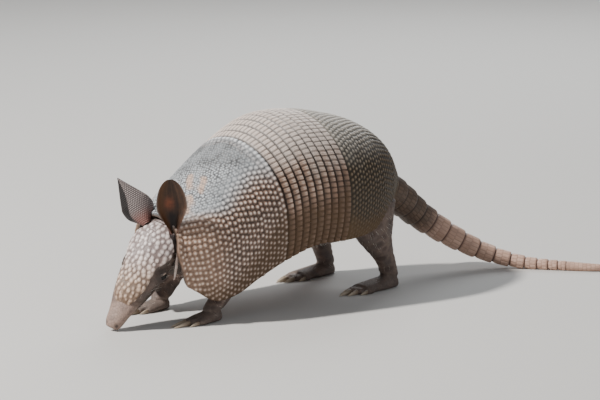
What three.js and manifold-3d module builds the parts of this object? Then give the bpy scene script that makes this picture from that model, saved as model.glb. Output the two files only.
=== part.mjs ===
// Nine-banded armadillo, an adult at life size, nosing in the ground with its tail laid behind it.
// Millimetres, +Z up. The head points towards -X, the animal's left side is -Y, the floor is Z = 0.
// Every armour plate is a solid of its own over solids of flesh, a gap of GAP apart.
import * as THREE from 'three';
import { mergeVertices } from 'three/addons/utils/BufferGeometryUtils.js';
import Module from 'manifold-3d';

const wasm = await Module();
wasm.setup();

const DEG = Math.PI / 180;
const GAP = 0.3; // between pieces that touch in life
const SHELL = 3.6; // thickness of the bony armour with its horn
const LINING = 0.9; // soft tissue between the armour and the trunk
const FINE = 0.12; // detail finer than this is dropped where a cut leaves slivers
const V3 = (x, y, z) => new THREE.Vector3(x, y, z);

// ---------------------------------------------------------------- driving dimensions
// The armour along the back. Each station is a cross-section: x of its middle, height of the
// ridge (top), height of the widest point (wide), half width there (half), height of the hem,
// height of the belly or chest (keel), and in degrees the lean of the section, nose down, and how
// far round from the ridge the armour reaches (reach). The front bends a little to the left (side).
const BODY = [
  { x: -152, top: 101, wide: 64, half: 35.5, hem: 27, keel: 44, lean: 8, reach: 115, side: -4.5 },
  { x: -132, top: 112, wide: 69, half: 49, hem: 19, keel: 36, lean: 8, reach: 121, side: -3 },
  { x: -108, top: 125, wide: 77, half: 57.5, hem: 22.5, keel: 32, lean: 8, reach: 122, side: -1.2 },
  { x: -82, top: 141.5, wide: 86, half: 62.5, hem: 34.5, keel: 34, lean: 8, reach: 122, side: 0 },
  { x: -52, top: 159.5, wide: 95, half: 66.5, hem: 47, keel: 42, lean: 8.5, reach: 122, side: 0 },
  { x: -14, top: 176.4, wide: 104, half: 71, hem: 57.5, keel: 49, lean: 7, reach: 122, side: 0 },
  { x: 24, top: 176.2, wide: 107, half: 73, hem: 57.5, keel: 50, lean: 5, reach: 122, side: 0 },
  { x: 55, top: 169.5, wide: 103, half: 69, hem: 58.5, keel: 53, lean: 2.5, reach: 122, side: 0 },
  { x: 80, top: 161.5, wide: 100.5, half: 62, hem: 62, keel: 58, lean: 0, reach: 122, side: 0 },
  { x: 104, top: 146.5, wide: 99.5, half: 50, hem: 66.5, keel: 65, lean: -6.5, reach: 122, side: 0 },
  { x: 124, top: 125.5, wide: 96, half: 33, hem: 67, keel: 69, lean: -13.5, reach: 122, side: 0 },
  { x: 141, top: 104.5, wide: 89, half: 20, hem: 68, keel: 72, lean: -19, reach: 122, side: 0 },
];
const FLANK = 122 * DEG; // the angle from the ridge at which a section has come down to its hem
const RIM_X = -152; // front rim of the shoulder shield
const BANDS = 9;
const BAND_X = -52.2; // front edge of the first band
const BAND_PITCH = 8.42; // one band, front to back
const RUMP_X = 141; // rear rim of the pelvic shield

// The head, in its own frame: crown between the ears, axis down to the nose.
const CROWN = V3(-163.8, -17, 91.7);
const HEAD_PITCH = 56 * DEG; // below the horizon
const HEAD_YAW = 8 * DEG; // to the animal's right
const HEAD_ROLL = 28 * DEG; // face turned to the animal's left
// Sections from the back of the skull to the nose: distance along the axis (x), half width,
// height of the brow line above it (roof), depth of the jaw below it (jaw).
const HEAD = [
  { x: -15, half: 9, roof: -16, jaw: 24 },
  { x: -9, half: 15, roof: -9.5, jaw: 29 },
  { x: 4, half: 20, roof: -1, jaw: 32 },
  { x: 20, half: 22.5, roof: 1.2, jaw: 33 },
  { x: 38, half: 22, roof: 0.6, jaw: 29.5 },
  { x: 54, half: 20, roof: -1.6, jaw: 25 },
  { x: 70, half: 16, roof: -3, jaw: 20.5 },
  { x: 86, half: 11, roof: -3.6, jaw: 17.2 },
  { x: 97, half: 8.6, roof: -3.4, jaw: 16 },
  { x: 101.5, half: 6.4, roof: -5.4, jaw: 14 },
];
// Outline of the horny shield on the face: distance along the axis and half width.
const MASK = [
  { x: -3, half: 7.5 },
  { x: 3, half: 12.5 },
  { x: 11, half: 20.5 },
  { x: 21, half: 23.5 },
  { x: 30, half: 21.5 },
  { x: 37, half: 18 },
  { x: 46, half: 16.8 },
  { x: 58, half: 16 },
  { x: 70, half: 12.6 },
  { x: 80, half: 9 },
];
const MASK_THICK = 1.6;
const MASK_LIFT = 1; // from the skull's skin to the underside of the face shield
const EYE = { along: 39.5, side: 18.6, down: 12.5, radius: 4.6 };

// The ears. Each stands on the head at a distance along its axis (along) and out from it (side).
// The tip and facing directions are in the head's frame (back, up, out), and roll turns the cup
// about the ear in degrees. The flattened leaf is widest (half width leaf) from fullest on, and
// narrows to its tip by taper; a higher point gives a sharper tip.
const EARS = [
  {
    name: 'ear_left',
    sign: 1,
    along: 1,
    side: 14,
    tip: [0.78, 0.6, -0.28],
    face: [-0.5, 0.84, 0.5],
    roll: 8,
    leaf: 15.5,
    fullest: 0.45,
    taper: 2.3,
    point: 0.5,
  },
  {
    name: 'ear_right',
    sign: -1,
    along: 3,
    side: 16,
    tip: [0.5, 0.44, 0.75],
    face: [0.35, -0.75, 0.6],
    roll: -10,
    leaf: 17.5,
    fullest: 0.22,
    taper: 1.6,
    point: 0.75,
  },
];
const EAR_LENGTH = 50;
const EAR_THICK = 1.3;
const EAR_DOWN = 5; // how far the base sits below the brow line

// The tail: where its middle line runs, down to the floor and round to the left.
const TAIL_PATH = [
  [143, 0, 85],
  [163, -1, 72],
  [188, -6, 52],
  [216, -26, 29.5],
  [240, -48, 14.5],
  [262, -75, 6.2],
  [282, -106, 4.7],
  [300, -131, 3.9],
  [322, -150, 2.9],
  [350, -160, 1.6],
];
const TAIL = [
  { x: 0, radius: 17.6 },
  { x: 50, radius: 14 },
  { x: 95, radius: 11.1 },
  { x: 125, radius: 9.1 },
  { x: 160, radius: 6.8 },
  { x: 195, radius: 5.1 },
  { x: 215, radius: 4.5 },
  { x: 255, radius: 3.1 },
  { x: 310, radius: 1.5 },
];
// Length of each ring, from the root on.
const RING_LENGTHS = [16, 16.5, 17, 17.5, 18, 18, 18, 17.5, 16.5, 14.5, 12.5, 11, 9.5, 8.5];
const RING_STEP = 0.9; // how far each ring's rear rim stands over the next

// The legs, for the left side: middle line from inside the body to the ankle, with half widths
// across and along, then the foot. The right legs are mirrored.
const FORE = {
  limb: [
    { at: [-100, -33, 52], wide: 16, long: 20 },
    { at: [-101, -35, 36], wide: 13, long: 16 },
    { at: [-107, -36, 22], wide: 10, long: 12 },
    { at: [-117, -35.5, 11], wide: 9.5, long: 9.5 },
  ],
  heel: -109,
  toes_x: -137,
  foot_y: -35.5,
  foot_wide: 11,
  foot_high: 13,
  digits: [
    { side: 8.4, reach: 6, thick: 3.2, claw: 9.5 },
    { side: 3, reach: 12, thick: 3.8, claw: 18 },
    { side: -3, reach: 11.5, thick: 3.8, claw: 17 },
    { side: -8.4, reach: 4.5, thick: 3.1, claw: 8.5 },
  ],
};
const HIND = {
  limb: [
    { at: [86, -36, 84], wide: 17, long: 30 },
    { at: [83, -40, 62], wide: 15, long: 26 },
    { at: [88, -42.5, 44], wide: 11.5, long: 18 },
    { at: [99, -43, 27], wide: 8.5, long: 11.5 },
    { at: [105, -43, 12], wide: 8, long: 9.5 },
  ],
  heel: 114,
  toes_x: 66,
  foot_y: -43,
  foot_wide: 12,
  foot_high: 14,
  digits: [
    { side: 10.8, reach: 3, thick: 3.2, claw: 7.5 },
    { side: 5.2, reach: 11, thick: 3.7, claw: 11 },
    { side: 0, reach: 14.5, thick: 3.9, claw: 13.5 },
    { side: -5.2, reach: 10.5, thick: 3.7, claw: 11 },
    { side: -10.8, reach: 1, thick: 3.1, claw: 7 },
  ],
};

const CLAW_SHARE = 0.62; // thickness of a claw at its root, as a share of its toe

// ---------------------------------------------------------------- materials
const horn = (color, roughness) => new THREE.MeshStandardMaterial({ color, roughness, metalness: 0 });
const SHIELD_HORN = horn('#8f8580', 0.55);
const BAND_HORN = horn('#937a6c', 0.55);
const RUMP_HORN = horn('#6e5c4c', 0.6);
const TAIL_HORN = horn('#a07a6c', 0.6);
const FACE_HORN = horn('#b3a099', 0.5);
const SKIN = horn('#5d4a44', 0.8);
const EAR_SKIN = horn('#5a4f50', 0.7);
const CLAW_HORN = horn('#b9a58a', 0.45);
const EYE_WET = horn('#120d0b', 0.15);

const group = new THREE.Group();

function add(name, geometry, material) {
  const mesh = new THREE.Mesh(geometry, material);
  mesh.name = name;
  group.add(mesh);
}

// ---------------------------------------------------------------- helpers
// Smooth value of one measure between stations, by cubic Hermite pieces.
function along(stations, key, x) {
  const last = stations.length - 1;
  let i = 0;
  while (i < last - 1 && x > stations[i + 1].x) i += 1;
  const slope = (j) => {
    const lo = stations[Math.max(j - 1, 0)];
    const hi = stations[Math.min(j + 1, last)];
    return (hi[key] - lo[key]) / (hi.x - lo.x);
  };
  const span = stations[i + 1].x - stations[i].x;
  const t = Math.min(Math.max((x - stations[i].x) / span, 0), 1);
  const rise = stations[i + 1][key] - stations[i][key];
  const ease = t * t * (3 - 2 * t);
  const bend = t * (1 - t);
  return stations[i][key] + rise * ease + span * bend * ((1 - t) * slope(i) - t * slope(i + 1));
}

const spread = (from, to, steps) =>
  Array.from({ length: steps + 1 }, (_, i) => from + ((to - from) * i) / steps);

// A closed BufferGeometry from points and triangles, turned so that its faces point outwards.
function closed(points, faces) {
  let volume = 0;
  for (const [a, b, c] of faces) {
    volume += points[a].dot(new THREE.Vector3().crossVectors(points[b], points[c]));
  }
  const index = volume < 0 ? faces.flatMap(([a, b, c]) => [a, c, b]) : faces.flat();
  const geometry = new THREE.BufferGeometry();
  geometry.setAttribute('position', new THREE.Float32BufferAttribute(points.flatMap((p) => p.toArray()), 3));
  geometry.setIndex(index);
  geometry.computeVertexNormals();
  return geometry;
}

// A solid over rings of points, each ring closed on itself, with its two ends capped.
function tube(rings) {
  const around = rings[0].length;
  const points = rings.flat();
  const faces = [];
  for (let i = 0; i < rings.length - 1; i += 1) {
    for (let j = 0; j < around; j += 1) {
      const a = i * around + j;
      const b = i * around + ((j + 1) % around);
      faces.push([a, b, b + around], [a, b + around, a + around]);
    }
  }
  for (const [row, turn] of [[0, 1], [rings.length - 1, 0]]) {
    const middle = new THREE.Vector3();
    rings[row].forEach((p) => middle.addScaledVector(p, 1 / around));
    points.push(middle);
    for (let j = 0; j < around; j += 1) {
      const a = row * around + j;
      const b = row * around + ((j + 1) % around);
      faces.push(turn ? [points.length - 1, b, a] : [points.length - 1, a, b]);
    }
  }
  return closed(points, faces);
}

// A solid plate between two grids of points of the same size.
function plate(outer, inner) {
  const rows = outer.length;
  const cols = outer[0].length;
  const points = [...outer.flat(), ...inner.flat()];
  const under = rows * cols;
  const faces = [];
  const quad = (a, b, c, d) => faces.push([a, b, c], [a, c, d]);
  for (let i = 0; i < rows - 1; i += 1) {
    for (let j = 0; j < cols - 1; j += 1) {
      const a = i * cols + j;
      quad(a, a + 1, a + cols + 1, a + cols);
      quad(under + a, under + a + cols, under + a + cols + 1, under + a + 1);
    }
  }
  const edge = [];
  for (let j = 0; j < cols - 1; j += 1) edge.push(j);
  for (let i = 0; i < rows - 1; i += 1) edge.push(i * cols + cols - 1);
  for (let j = cols - 1; j > 0; j -= 1) edge.push((rows - 1) * cols + j);
  for (let i = rows - 1; i > 0; i -= 1) edge.push(i * cols);
  edge.forEach((a, n) => {
    const b = edge[(n + 1) % edge.length];
    quad(a, under + a, under + b, b);
  });
  return closed(points, faces);
}

// Boolean work: geometry to solid, and the largest piece of the result back.
function solid(geometry) {
  const bare = geometry.clone();
  bare.deleteAttribute('normal');
  bare.deleteAttribute('uv');
  const merged = mergeVertices(bare, 1e-4);
  return new wasm.Manifold(
    new wasm.Mesh({
      numProp: 3,
      vertProperties: new Float32Array(merged.attributes.position.array),
      triVerts: new Uint32Array(merged.index.array),
    }),
  );
}

function fromSolid(manifold) {
  const pieces = manifold.simplify(FINE).decompose();
  const whole = pieces.reduce((best, piece) => (piece.volume() > best.volume() ? piece : best));
  const mesh = whole.getMesh();
  const geometry = new THREE.BufferGeometry();
  geometry.setAttribute('position', new THREE.BufferAttribute(new Float32Array(mesh.vertProperties), 3));
  geometry.setIndex(new THREE.BufferAttribute(new Uint32Array(mesh.triVerts), 1));
  geometry.computeVertexNormals();
  return geometry;
}

// The space that a piece needs: the piece and its copies moved by a GAP along each axis.
function room(geometry) {
  const piece = solid(geometry);
  const moves = [[1, 0, 0], [-1, 0, 0], [0, 1, 0], [0, -1, 0], [0, 0, 1], [0, 0, -1]];
  return moves.reduce((sum, move) => sum.add(piece.translate(move.map((v) => v * GAP))), piece);
}

const cut = (geometry, ...tools) =>
  fromSolid(tools.reduce((body, tool) => body.subtract(tool), solid(geometry)));

const onFloor = (points) => points.map((p) => V3(p.x, p.y, Math.max(p.z, 0)));

// ---------------------------------------------------------------- armour of the body
// A point of the armour: x of its section, angle round from the ridge (towards +Y), and height
// over the surface, measured square to it.
function armour(x, angle, lift = 0) {
  const at = (s, a) => {
    const wide = along(BODY, 'wide', s);
    const rise = along(BODY, 'top', s) - wide;
    const drop = (along(BODY, 'hem', s) - wide) / Math.cos(FLANK);
    const up = (Math.abs(a) < 90 * DEG ? rise : drop) * Math.cos(a);
    const lean = along(BODY, 'lean', s) * DEG;
    const out = along(BODY, 'half', s) * Math.sin(a) + along(BODY, 'side', s);
    return V3(s - up * Math.sin(lean), out, wide + up * Math.cos(lean));
  };
  const point = at(x, angle);
  if (lift === 0) return point;
  const step = 0.5;
  const lengthwise = at(x + step, angle).sub(at(x - step, angle));
  const round = at(x, angle + 0.01).sub(at(x, angle - 0.01));
  return point.addScaledVector(round.cross(lengthwise).normalize(), -lift);
}

const ROUND = 18; // faces round the armour
const shares = spread(-1, 1, ROUND);
const flank = (x, share) => share * along(BODY, 'reach', x) * DEG;
const grid = (xs, lift) => xs.map((x) => shares.map((s) => armour(x, flank(x, s), lift)));

const shieldRows = spread(RIM_X, BAND_X - GAP, 7);
const shoulderShield = plate(grid(shieldRows, 0), grid(shieldRows, -SHELL));
add('shoulder_shield', shoulderShield, SHIELD_HORN);

for (let n = 0; n < BANDS; n += 1) {
  const front = BAND_X + n * BAND_PITCH;
  const back = front + BAND_PITCH - GAP;
  // the band's profile: a low front lip, a crown, and a rear edge that stands over the groove
  const profile = [
    [front, -SHELL],
    [front, -1.2],
    [front + 1.6, 0.1],
    [back, -0.1],
    [back, -SHELL],
  ];
  const rings = shares.map((s) => profile.map(([x, lift]) => armour(x, flank(x, s), lift)));
  add(`band_${n + 1}`, tube(rings), BAND_HORN);
}

const rumpRows = spread(BAND_X + BANDS * BAND_PITCH, RUMP_X, 7);
const pelvicShield = plate(grid(rumpRows, 0), grid(rumpRows, -SHELL));
add('pelvic_shield', pelvicShield, RUMP_HORN);

// ---------------------------------------------------------------- trunk
// The whole body section at x: under the armour, depth below its surface, then round the belly.
function bodyRing(x, depth) {
  const upper = shares.map((s) => armour(x, s * FLANK, -depth));
  const hem = upper[upper.length - 1];
  const sag = along(BODY, 'keel', x) - hem.z;
  const middle = along(BODY, 'side', x);
  const lower = spread(0, 180 * DEG, 7)
    .slice(1, -1)
    .map((t) => V3(hem.x, middle + (hem.y - middle) * Math.cos(t), hem.z + sag * Math.sin(t)));
  return [...upper, ...lower];
}

// The trunk's sections stand on sections of the armour, so that its faces lie under the plates'.
const trunkRows = [
  ...[2, 4, 6].map((row) => shieldRows[row]),
  BAND_X,
  BAND_X + 4 * BAND_PITCH,
  ...[0, 2, 4, 5, 6].map((row) => rumpRows[row]),
];
const TAIL_ROOT_X = RUMP_X - 5; // rear end of the trunk, inside the pelvic shield
const trunk = tube([
  ...trunkRows.map((x) => bodyRing(x, SHELL + LINING)),
  bodyRing(TAIL_ROOT_X, SHELL + 3 * LINING),
]);
add('trunk', trunk, SKIN);
const insideArmour = tube(spread(RIM_X, RUMP_X, 12).map((x) => bodyRing(x, -GAP)));

// ---------------------------------------------------------------- head
const nose = V3(
  -Math.cos(HEAD_PITCH) * Math.cos(HEAD_YAW),
  Math.cos(HEAD_PITCH) * Math.sin(HEAD_YAW),
  -Math.sin(HEAD_PITCH),
);
const level = V3(-Math.sin(HEAD_YAW), -Math.cos(HEAD_YAW), 0); // the left side before the roll
const brow = nose.clone().cross(level); // square to both, up and forward
const faceUp = brow.clone().multiplyScalar(Math.cos(HEAD_ROLL)).addScaledVector(level, Math.sin(HEAD_ROLL));
const faceLeft = level.clone().multiplyScalar(Math.cos(HEAD_ROLL)).addScaledVector(brow, -Math.sin(HEAD_ROLL));

const inHead = (axial, side, up) =>
  CROWN.clone().addScaledVector(nose, axial).addScaledVector(faceLeft, side).addScaledVector(faceUp, up);

// A point of the head: distance along the axis, angle round from the brow (towards the left).
function headPoint(u, angle, lift = 0) {
  const roof = along(HEAD, 'roof', u);
  const jaw = along(HEAD, 'jaw', u);
  const half = along(HEAD, 'half', u) + lift;
  const middle = roof - (roof + jaw) * 0.42; // the widest level, a little above half way down
  const up = Math.cos(angle) > 0 ? roof - middle + lift : middle + jaw + lift;
  return inHead(u, half * Math.sin(angle), middle + up * Math.cos(angle));
}

const headRing = (u) => spread(0, 360 * DEG, 18).slice(0, -1).map((a) => headPoint(u, a));
const headRows = [-15, -12, -7, 2, 12, 22, 32, 42, 52, 62, 74, 86, 97, 101.5];
const headShape = tube(headRows.map((u) => onFloor(headRing(u))));

// Angle at which the face shield's edge lies at one distance along the head.
function maskAngle(u) {
  const share = along(MASK, 'half', u) / (along(HEAD, 'half', u) + MASK_LIFT + MASK_THICK);
  return Math.asin(Math.min(share, 0.985));
}
const maskRows = spread(MASK[0].x, MASK[MASK.length - 1].x, 8);
const maskGrid = (lift) => maskRows.map((u) =>
  spread(-maskAngle(u), maskAngle(u), 8).map((a) => headPoint(u, a, lift)));
const headShield = plate(maskGrid(MASK_LIFT + MASK_THICK), maskGrid(MASK_LIFT));
add('head_shield', headShield, FACE_HORN);

const eyes = [1, -1].map((sign) => {
  const middle = inHead(EYE.along, sign * EYE.side, -EYE.down);
  const ball = (radius) => new THREE.SphereGeometry(radius, 9, 6).translate(middle.x, middle.y, middle.z);
  add(sign > 0 ? 'eye_left' : 'eye_right', ball(EYE.radius), EYE_WET);
  return solid(ball(EYE.radius + GAP));
});

// ---------------------------------------------------------------- ears
// An ear is a leaf of gristle rolled into a funnel at its base and opening into a cup.
const headWay = (back, up, side) =>
  V3(0, 0, 0)
    .addScaledVector(nose, -back)
    .addScaledVector(faceUp, up)
    .addScaledVector(faceLeft, side)
    .normalize();

function earGrid(ear, lift) {
  const root = inHead(ear.along, ear.sign * ear.side, -EAR_DOWN);
  const rise = headWay(ear.tip[0], ear.tip[1], ear.sign * ear.tip[2]);
  const face = headWay(ear.face[0], ear.face[1], ear.sign * ear.face[2]);
  face.addScaledVector(rise, -face.dot(rise)).normalize();
  face.applyAxisAngle(rise, ear.roll * DEG);
  const across = new THREE.Vector3().crossVectors(rise, face);
  return spread(0, 1, 8).map((v) => {
    const swell = 0.36 + 0.64 * Math.sin(Math.min(v * 1.75, 1) * 90 * DEG);
    const beyond = Math.max((v - ear.fullest) / (1.01 - ear.fullest), 0);
    const leaf = ear.leaf * swell * Math.max(1 - beyond ** ear.taper, 0.03) ** ear.point;
    const curl = (128 - 82 * Math.min(v * 2.2, 1)) * DEG;
    const bend = leaf / curl;
    return spread(-1, 1, 6).map((w) =>
      root
        .clone()
        .addScaledVector(rise, v * EAR_LENGTH)
        .addScaledVector(across, (bend + lift) * Math.sin(w * curl))
        .addScaledVector(face, bend - (bend + lift) * Math.cos(w * curl) - 1.5 * Math.sin(v * 180 * DEG)),
    );
  });
}

const ears = EARS.map((ear) => plate(earGrid(ear, EAR_THICK / 2), earGrid(ear, -EAR_THICK / 2)));
const head = cut(headShape, ...eyes, room(shoulderShield));
EARS.forEach((ear, n) => {
  add(ear.name, cut(ears[n], room(head), room(headShield), room(shoulderShield)), EAR_SKIN);
});
add('head', head, SKIN);

// ---------------------------------------------------------------- neck
const NECK = [
  { at: [-112, 0, 74], wide: 42, high: 33 },
  { at: [-126, -3, 73], wide: 35, high: 29 },
  { at: [-138, -7, 70], wide: 27, high: 26 },
  { at: [-150, -9, 62], wide: 18, high: 22 },
];
const ovalRing = (at, across, wide, upward, high, sides) =>
  spread(0, 360 * DEG, sides).slice(0, -1).map((t) =>
    V3(...at).addScaledVector(across, wide * Math.sin(t)).addScaledVector(upward, high * Math.cos(t)));
const neckShape = tube(NECK.map((s) => ovalRing(s.at, V3(0, 1, 0), s.wide, V3(-0.35, 0, 0.94), s.high, 12)));
add('neck', cut(neckShape, room(trunk), room(head)), SKIN);

// ---------------------------------------------------------------- legs
const bodyTools = [solid(insideArmour), ...[trunk, shoulderShield, pelvicShield].map(room)];

// One leg: the limb, a foot on its flat sole, and toes, made as one body, with its claws apart.
function leg(plan, side, name) {
  const mirror = side === 'left' ? 1 : -1;
  const place = (x, y, z) => V3(x, mirror * y, z);
  const limb = tube(plan.limb.map((s) =>
    ovalRing(place(...s.at).toArray(), V3(0, 1, 0), s.wide, V3(-1, 0, 0), s.long, 8)));
  const length = plan.heel - plan.toes_x;
  const foot = tube(spread(0, 1, 4).map((t) => {
    const spreading = 0.62 + 0.38 * Math.sin(Math.min(t * 1.6, 1) * 90 * DEG);
    const wide = plan.foot_wide * spreading * (t === 0 ? 0.6 : 1);
    const high = plan.foot_high * (1 - 0.42 * t) * (t === 0 ? 0.55 : 1) * 0.5;
    const at = place(plan.heel - length * t, plan.foot_y, 0.78 * high);
    return onFloor(ovalRing(at.toArray(), V3(0, 1, 0), wide, V3(0, 0, 1), 1.15 * high, 8));
  }));
  let body = solid(limb).add(solid(foot));
  plan.digits.forEach((digit, n) => {
    const start = plan.toes_x + 6;
    const y = plan.foot_y - digit.side; // side is measured outwards
    const tipX = plan.toes_x - digit.reach;
    const toe = tube([[0, 0.95], [0.7, 1], [1, 0.6]].map(([t, share]) => {
      const size = digit.thick * share;
      const at = place(start + (tipX - start) * t, y, 0.55 * size);
      return onFloor(ovalRing(at.toArray(), V3(0, 1, 0), size, V3(0, 0, 1), 1.15 * size, 6));
    }));
    body = body.add(solid(toe));
    const rest = digit.thick * CLAW_SHARE; // height of the claw's middle where it leaves the toe
    const claw = tube(spread(0, 1, 2).map((t) => {
      const size = rest * (1 - 0.88 * t);
      const at = place(tipX - GAP - digit.claw * t, y, rest + (0.5 - rest) * t * t);
      return onFloor(ovalRing(at.toArray(), V3(0, 1, 0), size * 0.85, V3(0, 0, 1), size * 1.15, 6));
    }));
    add(`claw_${name}_${side}_${n + 1}`, claw, CLAW_HORN);
  });
  add(`${name}_leg_${side}`, fromSolid(bodyTools.reduce((rest, tool) => rest.subtract(tool), body)), SKIN);
}

for (const side of ['left', 'right']) {
  leg(FORE, side, 'fore');
  leg(HIND, side, 'hind');
}

// ---------------------------------------------------------------- tail
const tailCurve = new THREE.CatmullRomCurve3(TAIL_PATH.map((p) => V3(...p)), false, 'centripetal');
const tailLength = tailCurve.getLength();

// The ring of points round the tail at a distance along it; swell is added to the radius.
function tailRing(distance, swell, sides) {
  const t = Math.min(distance / tailLength, 1);
  const at = tailCurve.getPointAt(t);
  const way = tailCurve.getTangentAt(t);
  const across = V3(0, 0, 1).cross(way).normalize();
  const upward = way.clone().cross(across);
  const radius = along(TAIL, 'radius', distance) + swell;
  return onFloor(ovalRing(at.toArray(), across, radius, upward, radius, sides));
}

let reached = 0;
RING_LENGTHS.forEach((length, n) => {
  const end = reached + length - GAP;
  const rim = RING_STEP * (1 - (0.6 * n) / RING_LENGTHS.length);
  const shape = tube([
    tailRing(reached, -rim, 12),
    tailRing(reached + length * 0.45, 0, 12),
    tailRing(end, 0.25 * rim, 12),
  ]);
  const label = String(n + 1).padStart(2, '0');
  add(`tail_ring_${label}`, n === 0 ? cut(shape, room(trunk)) : shape, TAIL_HORN);
  reached += length;
});
const tipRows = spread(reached, tailLength, 6);
add('tail_tip', tube(tipRows.map((d) => tailRing(d, 0, 8))), TAIL_HORN);

// The origin is on the floor under the middle of the whole animal.
const box = new THREE.Box3().setFromObject(group);
group.position.set(-(box.min.x + box.max.x) / 2, -(box.min.y + box.max.y) / 2, 0);

export default group;
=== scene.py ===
"""A nine-banded armadillo, an adult at life size, nosing in the ground with its tail laid behind it.

The armour is horn over bone in many small scutes, the rest is thick wrinkled skin with sparse hair.
Sizes are in millimetres in the animal's own frame, as in the solids: head towards -X, left side -Y,
floor at Z = 0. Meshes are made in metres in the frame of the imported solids.
"""

import math

import bpy
import numpy as np
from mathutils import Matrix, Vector
from mathutils.kdtree import KDTree


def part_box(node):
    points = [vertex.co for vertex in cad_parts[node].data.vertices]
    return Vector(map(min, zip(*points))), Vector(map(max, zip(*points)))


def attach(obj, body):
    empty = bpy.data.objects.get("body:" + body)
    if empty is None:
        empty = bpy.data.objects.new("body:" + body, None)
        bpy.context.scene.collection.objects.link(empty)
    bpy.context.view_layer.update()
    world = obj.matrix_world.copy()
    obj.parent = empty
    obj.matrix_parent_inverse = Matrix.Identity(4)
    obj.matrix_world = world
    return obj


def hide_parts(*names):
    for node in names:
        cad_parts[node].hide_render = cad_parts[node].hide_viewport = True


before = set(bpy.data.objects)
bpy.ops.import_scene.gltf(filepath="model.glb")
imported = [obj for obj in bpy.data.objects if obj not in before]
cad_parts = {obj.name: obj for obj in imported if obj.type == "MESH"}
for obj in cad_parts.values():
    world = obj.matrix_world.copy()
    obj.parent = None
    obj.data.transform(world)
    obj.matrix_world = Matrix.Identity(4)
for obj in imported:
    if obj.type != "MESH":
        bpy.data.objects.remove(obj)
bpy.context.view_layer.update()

# ---------------------------------------------------------------- shoulder shield
# One saddle of horn over bone. Round beads of pale horn stand in rows on a dark ground, and over
# the shoulders they are worn down to a fine grey pebbling.
#
# All the armour follows a row of cross-sections along the back: height of the ridge (top), height
# of the widest point (wide), half width (half), hem and belly (keel), lean and reach in degrees,
# and the bend to the side. The shields, the bands and the trunk below them share the sections.
GAP = 0.3
SHELL = 3.6
LINING = 0.9
BODY = {
    "x": (-152, -132, -108, -82, -52, -14, 24, 55, 80, 104, 124, 141),
    "top": (101, 112, 125, 141.5, 159.5, 176.4, 176.2, 169.5, 161.5, 146.5, 125.5, 104.5),
    "wide": (64, 69, 77, 86, 95, 104, 107, 103, 100.5, 99.5, 96, 89),
    "half": (35.5, 49, 57.5, 62.5, 66.5, 71, 73, 69, 62, 50, 33, 20),
    "hem": (27, 19, 22.5, 34.5, 47, 57.5, 57.5, 58.5, 62, 66.5, 67, 68),
    "keel": (44, 36, 32, 34, 42, 49, 50, 53, 58, 65, 69, 72),
    "lean": (8, 8, 8, 8, 8.5, 7, 5, 2.5, 0, -6.5, -13.5, -19),
    "reach": (115, 121, 122, 122, 122, 122, 122, 122, 122, 122, 122, 122),
    "side": (-4.5, -3, -1.2, 0, 0, 0, 0, 0, 0, 0, 0, 0),
}
FLANK = math.radians(122)
RIM_X = -152
BANDS = 9
BAND_X = -52.2
BAND_PITCH = 8.42
RUMP_X = 141


def along(stations, key, x):
    """Smooth value of one measure between stations, by cubic Hermite pieces."""
    xs = np.array(stations["x"], float)
    v = np.array(stations[key], float)
    n = len(xs)
    before = np.maximum(np.arange(n) - 1, 0)
    after = np.minimum(np.arange(n) + 1, n - 1)
    slope = (v[after] - v[before]) / (xs[after] - xs[before])
    i = np.clip(np.searchsorted(xs, x) - 1, 0, n - 2)
    span = xs[i + 1] - xs[i]
    t = np.clip((x - xs[i]) / span, 0, 1)
    ease = t * t * (3 - 2 * t)
    bend = span * t * (1 - t) * ((1 - t) * slope[i] - t * slope[i + 1])
    return v[i] + (v[i + 1] - v[i]) * ease + bend


def section_point(x, angle):
    """A point on the outer face of the armour, by station and by angle round from the ridge."""
    wide = along(BODY, "wide", x)
    rise = along(BODY, "top", x) - wide
    drop = (along(BODY, "hem", x) - wide) / math.cos(FLANK)
    up = np.where(np.abs(angle) < math.pi / 2, rise, drop) * np.cos(angle)
    out = along(BODY, "half", x) * np.sin(angle) + along(BODY, "side", x)
    lean = np.radians(along(BODY, "lean", x))
    return np.stack([x - up * np.sin(lean), out, wide + up * np.cos(lean)], -1)


def unit(v):
    """Vectors brought to a length of one."""
    return v / np.maximum(np.linalg.norm(v, axis=-1, keepdims=True), 1e-9)


def armour(x, angle, lift=0.0):
    """A point of the armour at a height over its outer face, measured square to it."""
    x, angle, lift = np.broadcast_arrays(*(np.asarray(a, float) for a in (x, angle, lift)))
    lengthwise = section_point(x + 0.5, angle) - section_point(x - 0.5, angle)
    around = section_point(x, angle + 0.01) - section_point(x, angle - 0.01)
    return section_point(x, angle) - unit(np.cross(around, lengthwise)) * lift[..., None]


def flank_angle(x, share):
    """The angle at a share of the way from the ridge (0) to the left or right hem (-1 or 1)."""
    return share * np.radians(along(BODY, "reach", x))


# The solids were moved to stand centred on the origin. The rear edge of the pelvic shield and the
# middle of a band say how far.
_, rump_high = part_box("pelvic_shield")
tail_end = section_point(np.array(float(RUMP_X)), np.array(0.0))
band_low, band_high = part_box("band_5")
SHIFT = np.array([rump_high.x * 1000 - tail_end[0], (band_low.y + band_high.y) * 500, 0.0])


def smooth(low, high, value):
    """Rises softly from 0 at the first bound to 1 at the second, which may be the lower one."""
    t = np.clip((value - low) / (high - low), 0, 1)
    return t * t * (3 - 2 * t)


def noise(points, size, seed):
    """Soft random value from -1 to 1 with features about one size across."""
    draw = np.random.default_rng(seed)
    total = np.zeros(points.shape[:-1])
    for _ in range(7):
        way = draw.normal(size=3)
        way *= 2 * math.pi / (size * draw.uniform(1.3, 2.6) * np.linalg.norm(way))
        total += np.sin(points @ way + draw.uniform(0, 2 * math.pi))
    return total / 3.2


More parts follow.
